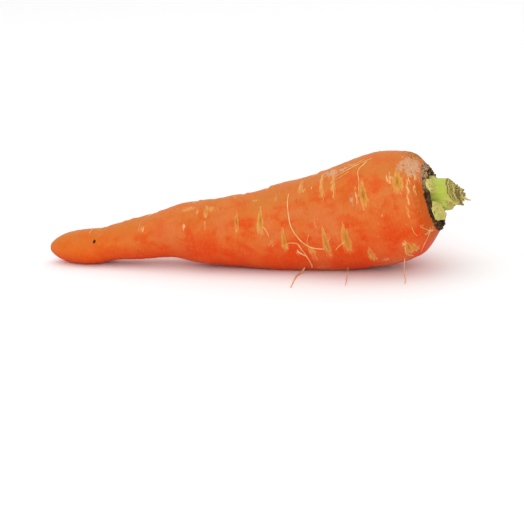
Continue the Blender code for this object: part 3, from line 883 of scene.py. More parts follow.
GREEN_LAYERS = [
    ("slow", WHOLE, SMOOTH, 1.0, GREEN_YELLOW),
    ("covered", (0.2, 1.0), ("slow", 0.4), 1.0, GREEN_PALE),
    ("fibres", WHOLE, SMOOTH, 0.25, GREEN_YELLOW),
    ("browned", WHOLE, SMOOTH, 0.6, CUT_BEIGE),
    ("brink", (0.55, 0.9), ("fibres", 0.6), "fresh", CUT_BROWN),
    ("cut", WHOLE, SMOOTH, 0.9, "face"),
]
BROWNED_EDGE = (0.35, 0.95, 0.5)
RING_TURNS, RING_WAVER, RING_START, RING_AMOUNT = 9.0, 2.1, 0.5, 0.95
GREEN_ROUGHNESS, GREEN_BUMP = (0.36, 0.8), (0.4, 0.0002)


def build_green_material():
    """A fresh stalk, with rings of vessels on its cut face."""
    material, tree, shader = material_with_shader(
        "stalk_green", roughness=0.42, specular=0.4, subsurface=0.2, radius=(0.6, 0.8, 0.2))
    place = attribute(tree, "grain", "Vector")
    masks = make_masks(tree, place, GREEN_GRAINS, ("share", "side", "cut", "paleness", "depth"))
    add_ranges(tree, masks, GREEN_RANGES)
    covered = calculate(tree, "MAXIMUM", masks["foot"], masks["edges"])
    masks["covered"] = calculate(tree, "MAXIMUM", covered, masks["paleness"])
    masks["browned"] = ragged(tree, masks["near the cut"], masks["spots"], *BROWNED_EDGE)
    turns = times(tree, masks["depth"], RING_TURNS)
    turns = calculate(tree, "ADD", turns, times(tree, masks["spots"], RING_WAVER))
    masks["rings"] = calculate(tree, "SINE", calculate(tree, "SUBTRACT", turns, RING_START))
    masks["ring amount"] = times(tree, masks["unbroken"], RING_AMOUNT)
    masks["face"] = layered(tree, masks, CUT_BEIGE, FACE_LAYERS)
    tree.links.new(layered(tree, masks, GREEN, GREEN_LAYERS), shader.inputs["Base Color"])
    dull = calculate(tree, "MAXIMUM", masks["browned"], masks["cut"])
    tree.links.new(remap(tree, dull, *WHOLE, *GREEN_ROUGHNESS), shader.inputs["Roughness"])
    bump(tree, shader, masks["fibres"], *GREEN_BUMP)
    return material


DRY_TAN = (0.66, 0.50, 0.17)
DRY_BROWN = (0.40, 0.28, 0.085)
# Painted shade between the sheaths, with darker withered tissue.
DRY_DARK_SHADE = (0.09, 0.05, 0.018)
DRY_GREEN = (0.46, 0.46, 0.11)
DRY_RIM = (0.62, 0.48, 0.19)
DRY_LIGHT = (0.68, 0.54, 0.17)
DRY_GRAINS = {"fibres": (0.2, 1.5, 3.0), "slow": (0.5, 0.6, 3.0), "folds": (0.35, 0.45, 5.0)}
DRY_RANGES = {
    "low": ("share", 1.0, 0.5), "green patches": ("slow", 0.2, 0.7), "below the end": ("share", 0.93, 0.84),
    "above the foot": ("share", 0.05, 0.3), "end": ("share", 0.90, 0.98),
}
DRY_LAYERS = [
    ("fibres", WHOLE, SMOOTH, 1.0, DRY_TAN),
    ("folds", (0.45, 0.8), SMOOTH, 0.75, DRY_LIGHT),
    ("low", WHOLE, SMOOTH, "green patches", DRY_GREEN),
    # Painted shadow with darker withered tissue: each sheath is darker between its foot and its torn end, as
    # if shaded by the sheath outside it.
    ("withered_gap_shade", (0.35, 0.8), ("slow", 0.8), 0.65, DRY_DARK_SHADE),
    ("end", (0.3, 0.9), ("slow", 0.6), 0.8, DRY_RIM),
    # Painted shade: the sheaths' inner faces are dark, and the round core half as much.
    ("inside", WHOLE, SMOOTH, 0.85, DRY_DARK_SHADE),
]
DRY_BUMP = (0.6, 0.0003)


def build_withered_material():
    """A dried stalk: tan folds, painted shade in the gaps and on the inner faces, and a light torn end."""
    material, tree, shader = material_with_shader("stalk_withered", 0.8)
    masks = make_masks(tree, attribute(tree, "grain", "Vector"), DRY_GRAINS, ("share", "inside"))
    add_ranges(tree, masks, DRY_RANGES)
    # The painted shade on each sheath's middle, between its foot and its end.
    masks["withered_gap_shade"] = times(tree, masks["below the end"], masks["above the foot"])
    tree.links.new(layered(tree, masks, DRY_BROWN, DRY_LAYERS), shader.inputs["Base Color"])
    bump(tree, shader, masks["fibres"], *DRY_BUMP)
    return material


# Two plain materials that are mottled between two colours: scale of the noise, where it starts and
# is full, and the colours.
NOISE_DETAIL = 3.0
ROOTLET_MOTTLE = (420.0, 0.35, 0.65, (0.74, 0.30, 0.085), (0.86, 0.55, 0.24))
SOIL_MOTTLE = (900.0, 0.35, 0.7, SOIL_AND_SHADE_BLACK, SOIL_BROWN)


def build_mottled_material(name, roughness, specular, mottle):
    scale, low, high, first, second = mottle
    material, tree, shader = material_with_shader(name, roughness, specular)
    place = node(tree, "ShaderNodeTexCoord").outputs["Object"]
    noise = texture_noise(tree, place, scale, NOISE_DETAIL)
    colour = blend(tree, remap(tree, noise, low, high), first, second)
    tree.links.new(colour, shader.inputs["Base Color"])
    return material


STALK_GREEN = build_green_material()
STALK_WITHERED = build_withered_material()
ROOTLET = build_mottled_material("rootlet", 0.6, 0.3, ROOTLET_MOTTLE)
SOIL = build_mottled_material("soil", 0.95, 0.15, SOIL_MOTTLE)

# %% [markdown]
# The leaf stalk bases
#
# A carrot's leaf stalk widens at its foot into a crescent that wraps round the younger ones. Each
# one here is a crescent section drawn up to its slanted cut, with fine ribs on its back. Its two
# ends are closed by rings that shrink onto the crescent's own middle line, so the cut is a real
# face with a dished middle and small bumps where the vessels end.

# %% Stalk shapes
STALK_GAP, STALKS_RISE, STALKS_SAG, STALKS_DROOP = 0.3, 1.0, 0.1, 0.01
EDGE_THINNESS, TOP_THINNING, TOP_NARROWING, INNER_SPAN = 0.93, 0.14, 0.1, 0.9
STALK_ROWS, END_ROWS, STALK_SIDES = 36, 10, 44
WOBBLE_RATES, WOBBLE_HEIGHT, RIB_WAVER, INNER_RIB = (3.0, 2.5), 0.12, 0.5, 0.25
JAG_RATE, JAG_LAYER, JAG_POWER = 6, 7, 6
VESSEL_RATE, VESSEL_HEIGHT = 22, 0.06
CUT_EDGE, TEAR_START, GRAIN_LAYERS = 3, 0.93, (9, 5)

# Stalks as (angle, distance of the inner face from the stalks' middle, half of the angle it spans,
# thickness, height of its foot, height of its cut at the inner face, outward lean, how steeply the
# cut falls outwards, paleness). The last four are too small for the CAD and are only in this script.
GREEN_STALKS = {
    "front": (48, 4.6, 70, 3.6, 0.00, 10.8, 0, 0.9, 0.0),
    "back": (-76, 4.6, 60, 2.6, 0.12, 9.5, 3, 0.9, 0.2),
    "low": (176, 4.6, 54, 2.2, 0.24, 8.0, 2, 0.9, 0.5),
    "pale_low": (136, 6.6, 40, 4.4, 0.36, 4.6, 18, 0.35, 0.8),
    "pale_top": (50, 7.7, 26, 2.4, 0.48, 3.3, 8, 0.35, 0.6),
    "pale_back": (-34, 6.1, 28, 2.4, 0.60, 3.0, 4, 0.35, 0.5),
    "pale_under": (236, 5.7, 34, 2.9, 0.72, 4.4, 13, 0.35, 0.6),
    "rim_top": (55, 10.4, 17, 2.6, 0.90, 3.0, 5, 0.35, 0.85),
    "rim_low": (115, 9.9, 28, 3.9, 0.20, 3.0, 10, 0.35, 0.9),
    "seam_low": (113, 4.2, 30, 3.3, 0.50, 8.8, 0, 0.9, 0.4),
    "lobe_low": (142, 3.2, 28, 1.5, 0.80, 10.8, 1, 0.5, 0.85),
}
# Ribs, their height, how ragged the cut is and how deep it is dished.
GREEN_FINISH, GREEN_SEED = (9, 0.10, 0.5, 0.3), 60
# The grown collar's section as (radius, height), and how pale it is.
COLLAR_SECTION = [(4.9, 0.2), (6.0, 0.2), (6.1, 1.0), (5.8, 1.7), (4.9, 1.7), (4.9, 0.2)]
COLLAR_SIDES, COLLAR_LOOKS = 96, {"share": 0.1, "side": 0.5, "paleness": 0.6}
STALK_ATTRIBUTES = ("share", "side", "cut", "paleness", "inside", "tear", "depth")


def crown_seat():
    """The middle of the crown's floor, a little above it, and its up, front and outward directions."""
    middle, outward, up, front = axis_frame(FLOOR_DEPTH)
    return middle + outward * STALK_GAP, up, front, outward


SEAT, SEAT_UP, SEAT_FRONT, SEAT_OUT = crown_seat()


def stacked(*values):
    """Vectors from three arrays or numbers, which are first spread to one shape."""
    return np.stack(np.broadcast_arrays(*values), -1)


def on_crown(turn, distance, height):
    """Points over the crown's floor, by angle in radians and distance from the stalks' middle."""
    rise = STALKS_RISE - STALKS_SAG * height - STALKS_DROOP * height**2
    across = rise + np.cos(turn) * distance
    aside = np.sin(turn) * distance
    return SEAT + across[..., None] * SEAT_UP + aside[..., None] * SEAT_FRONT + height[..., None] * SEAT_OUT


def stalk_rows():
    """Heights and insets of a stalk's rings: its foot closes, it rises, and its cut closes."""
    closing = np.linspace(1, 0, END_ROWS)
    share = np.concatenate([np.zeros(END_ROWS), np.linspace(0, 1, STALK_ROWS)[1:-1], np.ones(END_ROWS)])
    inset = np.concatenate([closing, np.zeros(STALK_ROWS - 2), closing[::-1]])
    on_cut = np.concatenate([np.zeros(END_ROWS + STALK_ROWS - 2), np.ones(END_ROWS)])
    return share[:, None], inset[:, None], on_cut[:, None]


def with_attributes(points, grain, **values):
    """A ring body with every attribute that the stalk materials read, 0 where none is given."""
    flat = np.ones(points.shape[:2])
    body = {label: values.get(label, 0) * flat for label in STALK_ATTRIBUTES}
    return {"points": points, "grain": grain, **body}


def crescent_body(stalk, finish, seed):
    """A stalk as rings: its back from one edge to the other, then its inner face on the way back."""
    angle, reach, half_span, thickness, foot, top, lean, slope, paleness = stalk
    ribs, rib_height, ragged_cut, dish = finish
    random = np.random.default_rng(seed)
    share, inset, on_cut = stalk_rows()
    side = np.linspace(-1, 1, STALK_SIDES)[None, :]
    phase = random.uniform(0, TURN)
    up_rate, side_rate = WOBBLE_RATES
    wobble = soft_noise(stacked(share * up_rate + seed, side * side_rate, seed), seed)
    rib = rib_height * np.cos(side * math.pi * ribs + phase + RIB_WAVER * wobble) * (1 - side**4)
    bulge = (1 - TOP_THINNING * share) * np.sqrt(1 - EDGE_THINNESS * side * side)
    outer = reach + thickness * bulge + rib + WOBBLE_HEIGHT * wobble
    inner = reach + INNER_RIB * rib + 0 * share
    outer_turn = np.radians(angle + side * half_span * (1 - TOP_NARROWING * share))
    inner_turn = np.radians(angle + side * half_span * (INNER_SPAN - TOP_NARROWING * share))
    jagged = ragged_cut * soft_noise(stacked(side * JAG_RATE + seed, 0.0, JAG_LAYER), seed + 1)
    rings = []
    for out, turn in ((outer, outer_turn), (inner, inner_turn)):
        height = foot + (top - foot + jagged * share**JAG_POWER) * share - slope * (out - reach) * share
        leaned = out + (height - foot) * math.tan(math.radians(lean))
        rings.append(on_crown(turn, leaned, height))
    middle = (rings[0] + rings[1]) / 2
    vessels = VESSEL_HEIGHT * np.abs(np.cos(side * VESSEL_RATE)) * inset
    dip = on_cut * (dish * np.sin(math.pi * inset / 2) - vessels)
    rings = [ring + (middle - ring) * inset[..., None] - dip[..., None] * SEAT_OUT for ring in rings]
    there_and_back = np.concatenate([side, side[:, ::-1]], axis=1)
    round_place = np.radians(angle + there_and_back * half_span) * (reach + 1)
    layer = paleness * GRAIN_LAYERS[0] + foot * GRAIN_LAYERS[1]
    # 'inside' is 1 on the inner face, which the withered material paints dark as shade.
    return with_attributes(
        np.concatenate([rings[0], rings[1][:, ::-1]], axis=1),
        stacked(share * (top - foot), round_place, layer),
        share=share, side=np.abs(there_and_back), cut=on_cut * np.minimum(1, inset * CUT_EDGE),
        paleness=paleness, inside=np.repeat([[0, 1]], STALK_SIDES, axis=1),
        tear=np.clip((share - TEAR_START) / (1 - TEAR_START), 0, 1), depth=on_cut * inset)


def grown_collar():
    """The low ring in which the stalks' feet have grown together."""
    turns = np.linspace(0, TURN, COLLAR_SIDES, endpoint=False)[None, :]
    radii, heights = np.array(COLLAR_SECTION).T[..., None]
    points = on_crown(turns, radii, heights + 0 * turns)
    return with_attributes(points, points - SEAT, **COLLAR_LOOKS)


def build_green_stalks():
    stalks = [crescent_body(stalk, GREEN_FINISH, GREEN_SEED + number)
              for number, stalk in enumerate(GREEN_STALKS.values())]
    return ring_object("green_stalks", [grown_collar()] + stalks, STALK_GREEN, fans=False)


green_stalks = build_green_stalks()
print("green stalks:", len(green_stalks.data.polygons), "faces")

# %% [markdown]
# The withered ends
#
# Between the green bases the youngest stalks have dried into thin nested sheaths, torn at the top,
# with dark gaps between them. Each CAD sheath is shown as three thin layers, one inside the other,
# deeply ridged, with torn ends at different heights. The uppermost sheath ends 2 mm further out than
# its CAD one, and one inner sheath is turned by 25 degrees.

# %% Withered shapes
# Sheaths as (angle, distance of the inner face, half of the angle it spans, height of its foot,
# height of its top, outward lean). The layers have one thickness.
WITHERED_STALKS = [
    (60, 2.2, 66, 8.10, 11.2, 2),
    (165, 2.2, 52, 8.20, 11.7, 4),
    (248, 2.2, 55, 8.30, 11.8, 2),
    (-20, 2.2, 58, 8.40, 12.8, 0),
    (100, 0.9, 75, 10.20, 13.1, 2),
    (-45, 0.9, 75, 10.40, 13.0, -2),
]
WITHERED_FINISH, WITHERED_SEED = (13, 0.13, 0.8, 0.1), 90
LAYERS, LAYER_THICKNESS, LAYER_STEP, LAYER_NARROWING = 3, 0.5, 0.72, 4
# Each layer ends lower than the one inside it and is turned a little, by uneven amounts.
LAYER_DROPS, DROP_RATE, LAYER_TURN, TURN_RATES = (0.6, 0.4), 2.1, 9, (3, 2)
SHEATH_DEPTH, SHEATH_SLOPE = 2.4, 0.35
# The round bodies as (height, radius) places, the number of ridges, their share and the seed.
WITHERED_CORE = ([(0.0, 4.0), (4.0, 4.1), (8.4, 4.0), (9.6, 3.3), (10.6, 2.2)], 22, 0.04, 5)
WITHERED_HEART = ([(8.0, 1.6), (11.6, 1.5), (12.8, 1.0), (13.5, 0.4)], 9, 0.12, 6)
CORE_SIDES, CORE_ROWS, CORE_WAVES, CORE_GRAIN = 64, 26, (0.5, 3), 4


def round_body(stations, ridges, ridge_height, seed):
    """An upright ridged body on the stalks' middle."""
    low, high = stations[0][0], stations[-1][0]
    height = np.linspace(low, high, CORE_ROWS)[:, None] * np.ones((1, CORE_SIDES))
    turn = np.linspace(0, TURN, CORE_SIDES, endpoint=False)[None, :] * np.ones((CORE_ROWS, 1))
    radius = np.interp(height, *np.array(stations).T)
    up_rate, round_rate = CORE_WAVES
    place = stacked(up_rate * height, round_rate * np.cos(turn) + seed, round_rate * np.sin(turn))
    radius = radius * (1 + ridge_height * np.cos(ridges * turn + soft_noise(place, seed)))
    grain = stacked(height, CORE_GRAIN * np.cos(turn) + seed, CORE_GRAIN * np.sin(turn))
    share = (height - low) / (high - low)
    # inside=0.5 gives the round core half of the painted shade of the inner faces.
    return with_attributes(on_crown(turn, radius, height), grain, share=share, inside=0.5)


def withered_layers():
    """Three thin sheaths for every CAD one, each shorter than the one inside it."""
    even, uneven = LAYER_DROPS
    for number, (angle, reach, half_span, foot, top, lean) in enumerate(WITHERED_STALKS):
        for layer in range(LAYERS):
            drop = layer * (even + uneven * math.sin(DROP_RATE * number + layer))
            turn = angle + LAYER_TURN * math.sin(TURN_RATES[0] * number + TURN_RATES[1] * layer)
            yield (turn, reach + LAYER_STEP * layer, half_span - LAYER_NARROWING * layer, LAYER_THICKNESS,
                   foot - SHEATH_DEPTH, top - drop, lean + layer, SHEATH_SLOPE, 0.0)


def build_withered_stalks():
    sheaths = [crescent_body(stalk, WITHERED_FINISH, WITHERED_SEED + number)
               for number, stalk in enumerate(withered_layers())]
    made = ring_object("withered_sheaths", sheaths, STALK_WITHERED, fans=False)
    rounds = [round_body(*WITHERED_CORE), round_body(*WITHERED_HEART)]
    core = ring_object("withered_core", rounds, STALK_WITHERED)
    return made, core


withered_sheaths, withered_core = build_withered_stalks()
print("withered sheaths:", len(withered_sheaths.data.polygons), "faces")

# %% [markdown]
# Rootlets, by Geometry Nodes
#
# Rootlets are the thin threads that lie pressed against the skin or hang from it. Each is given as
# a few places on the skin, which Python turns into a smooth line of points with a thickness. A
# Geometry Nodes tree then gives the lines a wavering radius and makes closed tubes of them.
# The result is turned into a plain mesh, so that it can be exported like everything else.

# %% Rootlets
# Each rootlet is (start radius, end radius, places), and a place is (distance from the rim, angle).
ROOTLETS = [
    (0.20, 0.26, [(57.6, 31), (58.0, 43), (57.8, 62), (57.4, 76), (55.7, 89), (52.5, 102),
                  (50.1, 107), (45.3, 110)]),
    (0.20, 0.30, [(59.6, 98), (56.9, 99), (55.1, 106), (53.8, 117), (53.1, 133), (53.4, 141)]),
    (0.34, 0.16, [(56.9, 111), (55.4, 114), (54.2, 118)]),
    (0.26, 0.18, [(36.5, 105), (38.7, 108), (40.8, 113)]),
    (0.20, 0.14, [(69.7, 72), (68.4, 78), (67.4, 87)]),
    (0.22, 0.20, [(20.3, 12), (25.0, 17), (30.8, 24), (35.4, 29)]),
    (0.16, 0.20, [(23.4, 11), (28.0, 17), (33.4, 23)]),
    (0.22, 0.14, [(22.4, 16), (23.6, 20), (25.3, 25), (25.7, 43), (26.3, 60)]),
    (0.20, 0.12, [(3.5, 128), (5.4, 134), (7.6, 140), (9.7, 148)]),
    (0.20, 0.10, [(3.5, 128), (4.3, 120), (5.4, 112)]),
    (0.16, 0.10, [(3.5, 128), (4.6, 127), (5.6, 124)]),
    (0.16, 0.10, [(3.5, 128), (2.6, 133), (2.2, 139)]),
    (0.14, 0.10, [(8.7, 105), (8.6, 112), (8.0, 119)]),
    (0.20, 0.18, [(13.6, 126), (14.4, 136), (12.9, 147)]),
    (0.16, 0.12, [(41.5, 96), (43.6, 104), (44.8, 112)]),
    (0.12, 0.10, [(52.0, 104), (51.4, 96), (50.2, 90)]),
    (0.14, 0.10, [(30.0, 27), (34.5, 33), (38.0, 36)]),
]
# Rootlets that hang to the surface below and lie on it, as (start radius, end radius, points).
HANGING_ROOTLETS = [
    (0.28, 0.16, [(25.0, -11.8, 2.4), (23.6, -13.0, 0.7), (22.6, -16.5, 0.35), (22.6, -22.5, 0.3),
                  (23.0, -28.0, 0.28), (23.4, -33.0, 0.25)]),
    (0.18, 0.12, [(67.2, -12.0, 9.0), (67.0, -13.6, 5.0), (67.0, -14.3, 2.0), (67.4, -15.8, 0.4),
                  (68.4, -20.0, 0.3), (68.8, -25.0, 0.2)]),
    (0.16, 0.10, [(43.4, -12.0, 3.4), (43.2, -13.6, 1.2), (43.6, -16.5, 0.35), (44.4, -22.5, 0.3),
                  (45.2, -29.0, 0.2)]),
]
# Fibres that stick out of the withered end, given the same way.
TAIL_FIBRES = [
    (0.95, 0.18, [(88.2, -1.6, 30.6), (90.4, -2.0, 30.5), (92.0, -2.3, 29.7), (93.5, -2.8, 29.6)]),
    (0.30, 0.10, [(86.4, -2.4, 34.6), (87.6, -2.6, 35.8), (88.4, -2.8, 36.4)]),
]
FAR_ROOTLET_SEED, FAR_ROOTLET_COUNT, FAR_STEPS, FAR_STEP, FAR_BEND = 71, 22, (3, 7), 2.2, 0.6
FAR_PLACES, FAR_START_RADIUS, FAR_END_RADIUS = (3, 160), (0.14, 0.24), (0.08, 0.14)
ROOTLET_LIFT, LINE_POINTS, WAVER_RATE = 0.08, 40, 900.0


def spline(corners, count):
    """A smooth line through the corners, with this many points."""
    corners = np.array(corners, float)
    run = np.concatenate([[0], np.cumsum(np.linalg.norm(np.diff(corners, axis=0), axis=1))])
    at = np.linspace(0, run[-1], count)
    return np.stack([smooth(np.column_stack([run, column]), at) for column in corners.T], -1)


def radius_at(along):
    """The outline's radius at places outside the rim."""
    return smooth(OUTLINE[1:], along)


def on_skin(places, lift):
    """Points just over the skin, from distances and angles in degrees."""
    along, angle = places[:, 0], np.radians(places[:, 1])
    return skin_places(along, angle, radius_at(along), 0.0, lift)


def far_rootlets():
    """Seeded rootlets on the sides that face away: each leaves a scar and wanders off."""
    random = np.random.default_rng(FAR_ROOTLET_SEED)
    scars = all_scars()[len(SCARS):]
    for _ in range(FAR_ROOTLET_COUNT):
        place, middle, *_ = scars[random.integers(len(scars))]
        angle, heading = math.degrees(middle), random.uniform(0, TURN)
        places = [(place, angle)]
        for _ in range(random.integers(*FAR_STEPS)):
            heading += random.uniform(-FAR_BEND, FAR_BEND)
            place = float(np.clip(place + FAR_STEP * math.cos(heading), *FAR_PLACES))
            angle += math.degrees(FAR_STEP * math.sin(heading) / float(radius_at(place)))
            places.append((place, angle))
        yield random.uniform(*FAR_START_RADIUS), random.uniform(*FAR_END_RADIUS), places


def free_lines(fibres):
    """Lines that are given as points, with their thicknesses."""
    return [(spline(corners, LINE_POINTS), np.linspace(start, end, LINE_POINTS))
            for start, end, corners in fibres]


def rootlet_lines():
    """Every rootlet's points and thicknesses."""
    lying = [
        (on_skin(spline(places, LINE_POINTS), ROOTLET_LIFT), np.linspace(start, end, LINE_POINTS))
        for start, end, places in ROOTLETS + list(far_rootlets())
    ]
    return lying + free_lines(HANGING_ROOTLETS)


def lines_object(name, lines):
    """A mesh of bare edges whose points know their thickness in metres."""
    points, edges, thick = [], [], []
    for line, radii in lines:
        start = len(points)
        points += (line * MM).tolist()
        thick += (radii * MM).tolist()
        edges += [(start + i, start + i + 1) for i in range(len(line) - 1)]
    mesh = bpy.data.meshes.new(name)
    mesh.from_pydata(points, edges, [])
    layer = mesh.attributes.new("thick", "FLOAT", "POINT")
    layer.data.foreach_set("value", thick)
    made = bpy.data.objects.new(name, mesh)
    bpy.context.scene.collection.objects.link(made)
    return made


def geometry_tree(name, inputs):
    """An empty Geometry Nodes tree that takes and gives geometry, with further named inputs."""
    tree = bpy.data.node_groups.new(name, "GeometryNodeTree")
    tree.interface.new_socket("Geometry", in_out="INPUT", socket_type="NodeSocketGeometry")
    for label, kind, value in inputs:
        tree.interface.new_socket(label, in_out="INPUT", socket_type=kind).default_value = value
    tree.interface.new_socket("Geometry", in_out="OUTPUT", socket_type="NodeSocketGeometry")
    return tree, tree.nodes.new("NodeGroupInput").outputs, tree.nodes.new("NodeGroupOutput").inputs


def close_tree(tree, shape, material, result):
    """Ends a tree: the instances become real geometry with one material."""
    real = node(tree, "GeometryNodeRealizeInstances", {0: shape}).outputs[0]
    finished = node(tree, "GeometryNodeSetMaterial", {"Geometry": real, "Material": material}).outputs[0]
    tree.links.new(finished, result[0])


def tube(tree, curve, sides, radius):
    """A closed tube along a curve. Its radius may change from point to point."""
    circle = {"Resolution": sides, "Radius": 1.0}
    profile = node(tree, "GeometryNodeCurvePrimitiveCircle", circle).outputs[0]
    inputs = {"Curve": curve, "Profile Curve": profile, "Fill Caps": True, "Scale": radius}
    return node(tree, "GeometryNodeCurveToMesh", inputs).outputs[0]


def tube_tree(name, material):
    """Smooth tubes along lines, each as thick as its points say, with a slow waver."""
    tree, given, result = geometry_tree(name, [
        ("Sides", "NodeSocketInt", 7), ("Waver", "NodeSocketFloat", 0.25), ("Seed", "NodeSocketInt", 3)])
    thick = node(tree, "GeometryNodeInputNamedAttribute", {"Name": "thick"}, data_type="FLOAT").outputs[0]
    place = node(tree, "GeometryNodeInputPosition").outputs[0]
    inputs = {"Vector": place, "W": given["Seed"], "Scale": WAVER_RATE}
    noise = node(tree, "ShaderNodeTexNoise", inputs, noise_dimensions="4D").outputs[0]
    centred = calculate(tree, "SUBTRACT", noise, 0.5)
    waver = calculate(tree, "MULTIPLY_ADD", centred, given["Waver"], 1.0)
    lines = node(tree, "GeometryNodeMeshToCurve", {0: given["Geometry"]}).outputs[0]
    inputs = {"Geometry": tube(tree, lines, given["Sides"], times(tree, thick, waver)), "Shade Smooth": True}
    smoothed = node(tree, "GeometryNodeSetShadeSmooth", inputs).outputs[0]
    close_tree(tree, smoothed, material, result)
    return tree


def baked(host, tree, values):
    """Runs a tree on an object with these input values and keeps what it gives as a plain mesh."""
    modifier = host.modifiers.new(tree.name, "NODES")
    modifier.node_group = tree
    for item in tree.interface.items_tree:
        if item.in_out == "INPUT" and item.name in values:
            modifier[item.identifier] = values[item.name]
    host.update_tag()
    evaluated = host.evaluated_get(bpy.context.evaluated_depsgraph_get())
    mesh = bpy.data.meshes.new_from_object(evaluated)
    host.modifiers.clear()
    host.data = mesh
    mesh.name = host.name
    return host


def tubes(name, lines, material, **values):
    made = baked(lines_object(name, lines), tube_tree(name + "_tubes", material), values)
    print(name + ":", len(made.data.polygons), "faces")
    return made


rootlets = tubes("rootlets", rootlet_lines(), ROOTLET, Sides=7, Waver=0.5, Seed=3)
tail_fibres = tubes("tail_fibres", free_lines(TAIL_FIBRES), STALK_WITHERED, Sides=7, Waver=0.6, Seed=4)

# %% [markdown]
# Root hairs, torn fibres and soil, scattered by Geometry Nodes
#
# Small things that repeat are scattered: short hairs on the pale marks, torn fibres on the withered
# ends and crumbs of soil in the crown. One function builds all three trees. It spreads points
# over a surface where an attribute allows, leans each piece from the surface by a seeded amount and
# scales it at random. Only the piece differs: a bent hair or a crumb.

# %% Scattered pieces
# A hair's corners and tip as shares of its length and radius. Its foot is below the surface.
HAIR_CORNERS = {"Start": (0, 0, -0.15), "Middle": (0.25, 0, 0.5), "End": (0.1, 0.2, 1)}
HAIR_TIP, HAIR_POINTS, HAIR_SIDES = 0.35, 6, 5
# Hairs as (length, radius at the foot), and a crumb's radius, lumps and unevenness.
ROOT_HAIR, TORN_FIBRE = (1.3, 0.055), (0.8, 0.08)
CRUMB_RADIUS, CRUMB_LUMPS, CRUMB_UNEVENNESS = 0.32, 0.7, 1.6


def hair_piece(tree, length, radius):
    """A bent tapering hair, standing up from the origin."""
    inputs = {label: [share * length * MM for share in corner] for label, corner in HAIR_CORNERS.items()}
    curve = node(tree, "GeometryNodeCurveQuadraticBezier", {**inputs, "Resolution": HAIR_POINTS}).outputs[0]
    factor = node(tree, "GeometryNodeSplineParameter").outputs[0]
    taper = remap(tree, factor, 0.0, 1.0, radius * MM, HAIR_TIP * radius * MM)
    return tube(tree, curve, HAIR_SIDES, taper)


def crumb_piece(tree):
    """A lump of soil: a small ball pushed out of shape by noise."""
    radius = CRUMB_RADIUS * MM
    ball = node(tree, "GeometryNodeMeshIcoSphere", {"Radius": radius, "Subdivisions": 2}).outputs[0]
    place = node(tree, "GeometryNodeInputPosition").outputs[0]
    inputs = {"Vector": place, "Scale": CRUMB_LUMPS / radius, "Detail": 3.0}
    noise = node(tree, "ShaderNodeTexNoise", inputs).outputs[1]
    centred = vector_math(tree, "SUBTRACT", noise, (0.5, 0.5, 0.5))
    shift = vector_math(tree, "SCALE", centred, CRUMB_UNEVENNESS * radius)
    return node(tree, "GeometryNodeSetPosition", {"Geometry": ball, "Offset": shift}).outputs[0]


def scatter_tree(name, mask, material, make_piece):
    """Scatters a piece over a surface where the mask attribute is high."""
    tree, given, result = geometry_tree(name, [
        ("Density", "NodeSocketFloat", 1.0), ("Seed", "NodeSocketInt", 1), ("Lean", "NodeSocketFloat", 0.5),
        ("Smallest", "NodeSocketFloat", 0.5), ("Largest", "NodeSocketFloat", 1.0)])
    allowed = node(tree, "GeometryNodeInputNamedAttribute", {"Name": mask}, data_type="FLOAT").outputs[0]
    amount, seed = times(tree, allowed, given["Density"]), given["Seed"]
    inputs = {"Mesh": given["Geometry"], "Density": amount, "Seed": seed}
    spread = node(tree, "GeometryNodeDistributePointsOnFaces", inputs).outputs
    inputs = {0: (-1, -1, -1), 1: (1, 1, 1), "Seed": seed}
    sideways = node(tree, "FunctionNodeRandomValue", inputs, data_type="FLOAT_VECTOR").outputs[0]
    leaning = vector_math(tree, "SCALE", sideways, given["Lean"])
    heading = vector_math(tree, "ADD", spread["Normal"], leaning)
    turned = node(tree, "FunctionNodeAlignRotationToVector", {"Vector": heading}, axis="Z").outputs[0]
    inputs = {2: given["Smallest"], 3: given["Largest"], "Seed": seed}
    size = node(tree, "FunctionNodeRandomValue", inputs, data_type="FLOAT").outputs[1]
    inputs = {"Points": spread["Points"], "Instance": make_piece(tree), "Rotation": turned, "Scale": size}
    pieces = node(tree, "GeometryNodeInstanceOnPoints", inputs).outputs[0]
    close_tree(tree, pieces, material, result)
    return tree


def surface_copy(name, surface):
    """A second object with the same mesh, to scatter on."""
    made = bpy.data.objects.new(name, surface.data.copy())
    bpy.context.scene.collection.objects.link(made)
    return made


def scatter(name, surface, mask, material, make_piece, **values):
    tree = scatter_tree(name + "_scatter", mask, material, make_piece)
    made = baked(surface_copy(name, surface), tree, values)
    print(name + ":", len(made.data.polygons), "faces")
    return made


root_hairs = scatter(
    "root_hairs", root, "pale", ROOTLET, lambda tree: hair_piece(tree, *ROOT_HAIR),
    Density=9e5, Seed=12, Lean=1.6, Smallest=0.4, Largest=1.0)
torn_fibres = scatter(
    "torn_fibres", withered_sheaths, "tear", STALK_WITHERED, lambda tree: hair_piece(tree, *TORN_FIBRE),
    Density=2e5, Seed=5, Lean=0.7, Smallest=0.3, Largest=0.8)
soil_crumbs = scatter(
    "soil_crumbs", root, "soil", SOIL, crumb_piece,
    Density=1.1e6, Seed=8, Lean=2.0, Smallest=0.35, Largest=1.25)

# %% [markdown]
# The stage
#
# The photo has a white ground and wide soft light from above. A near-white floor, a white world and
# one large lamp over the carrot give that, with a smaller lamp at the camera's side.
# The camera looks 16 degrees down and a little from the crown's side, from three quarters of a metre
# away, and is rolled by three degrees.

# %% Floor, light and camera
FLOOR_SIZE = 8.0
FLOOR_COLOUR = (0.93, 0.93, 0.93)
WORLD_STRENGTH = 0.92
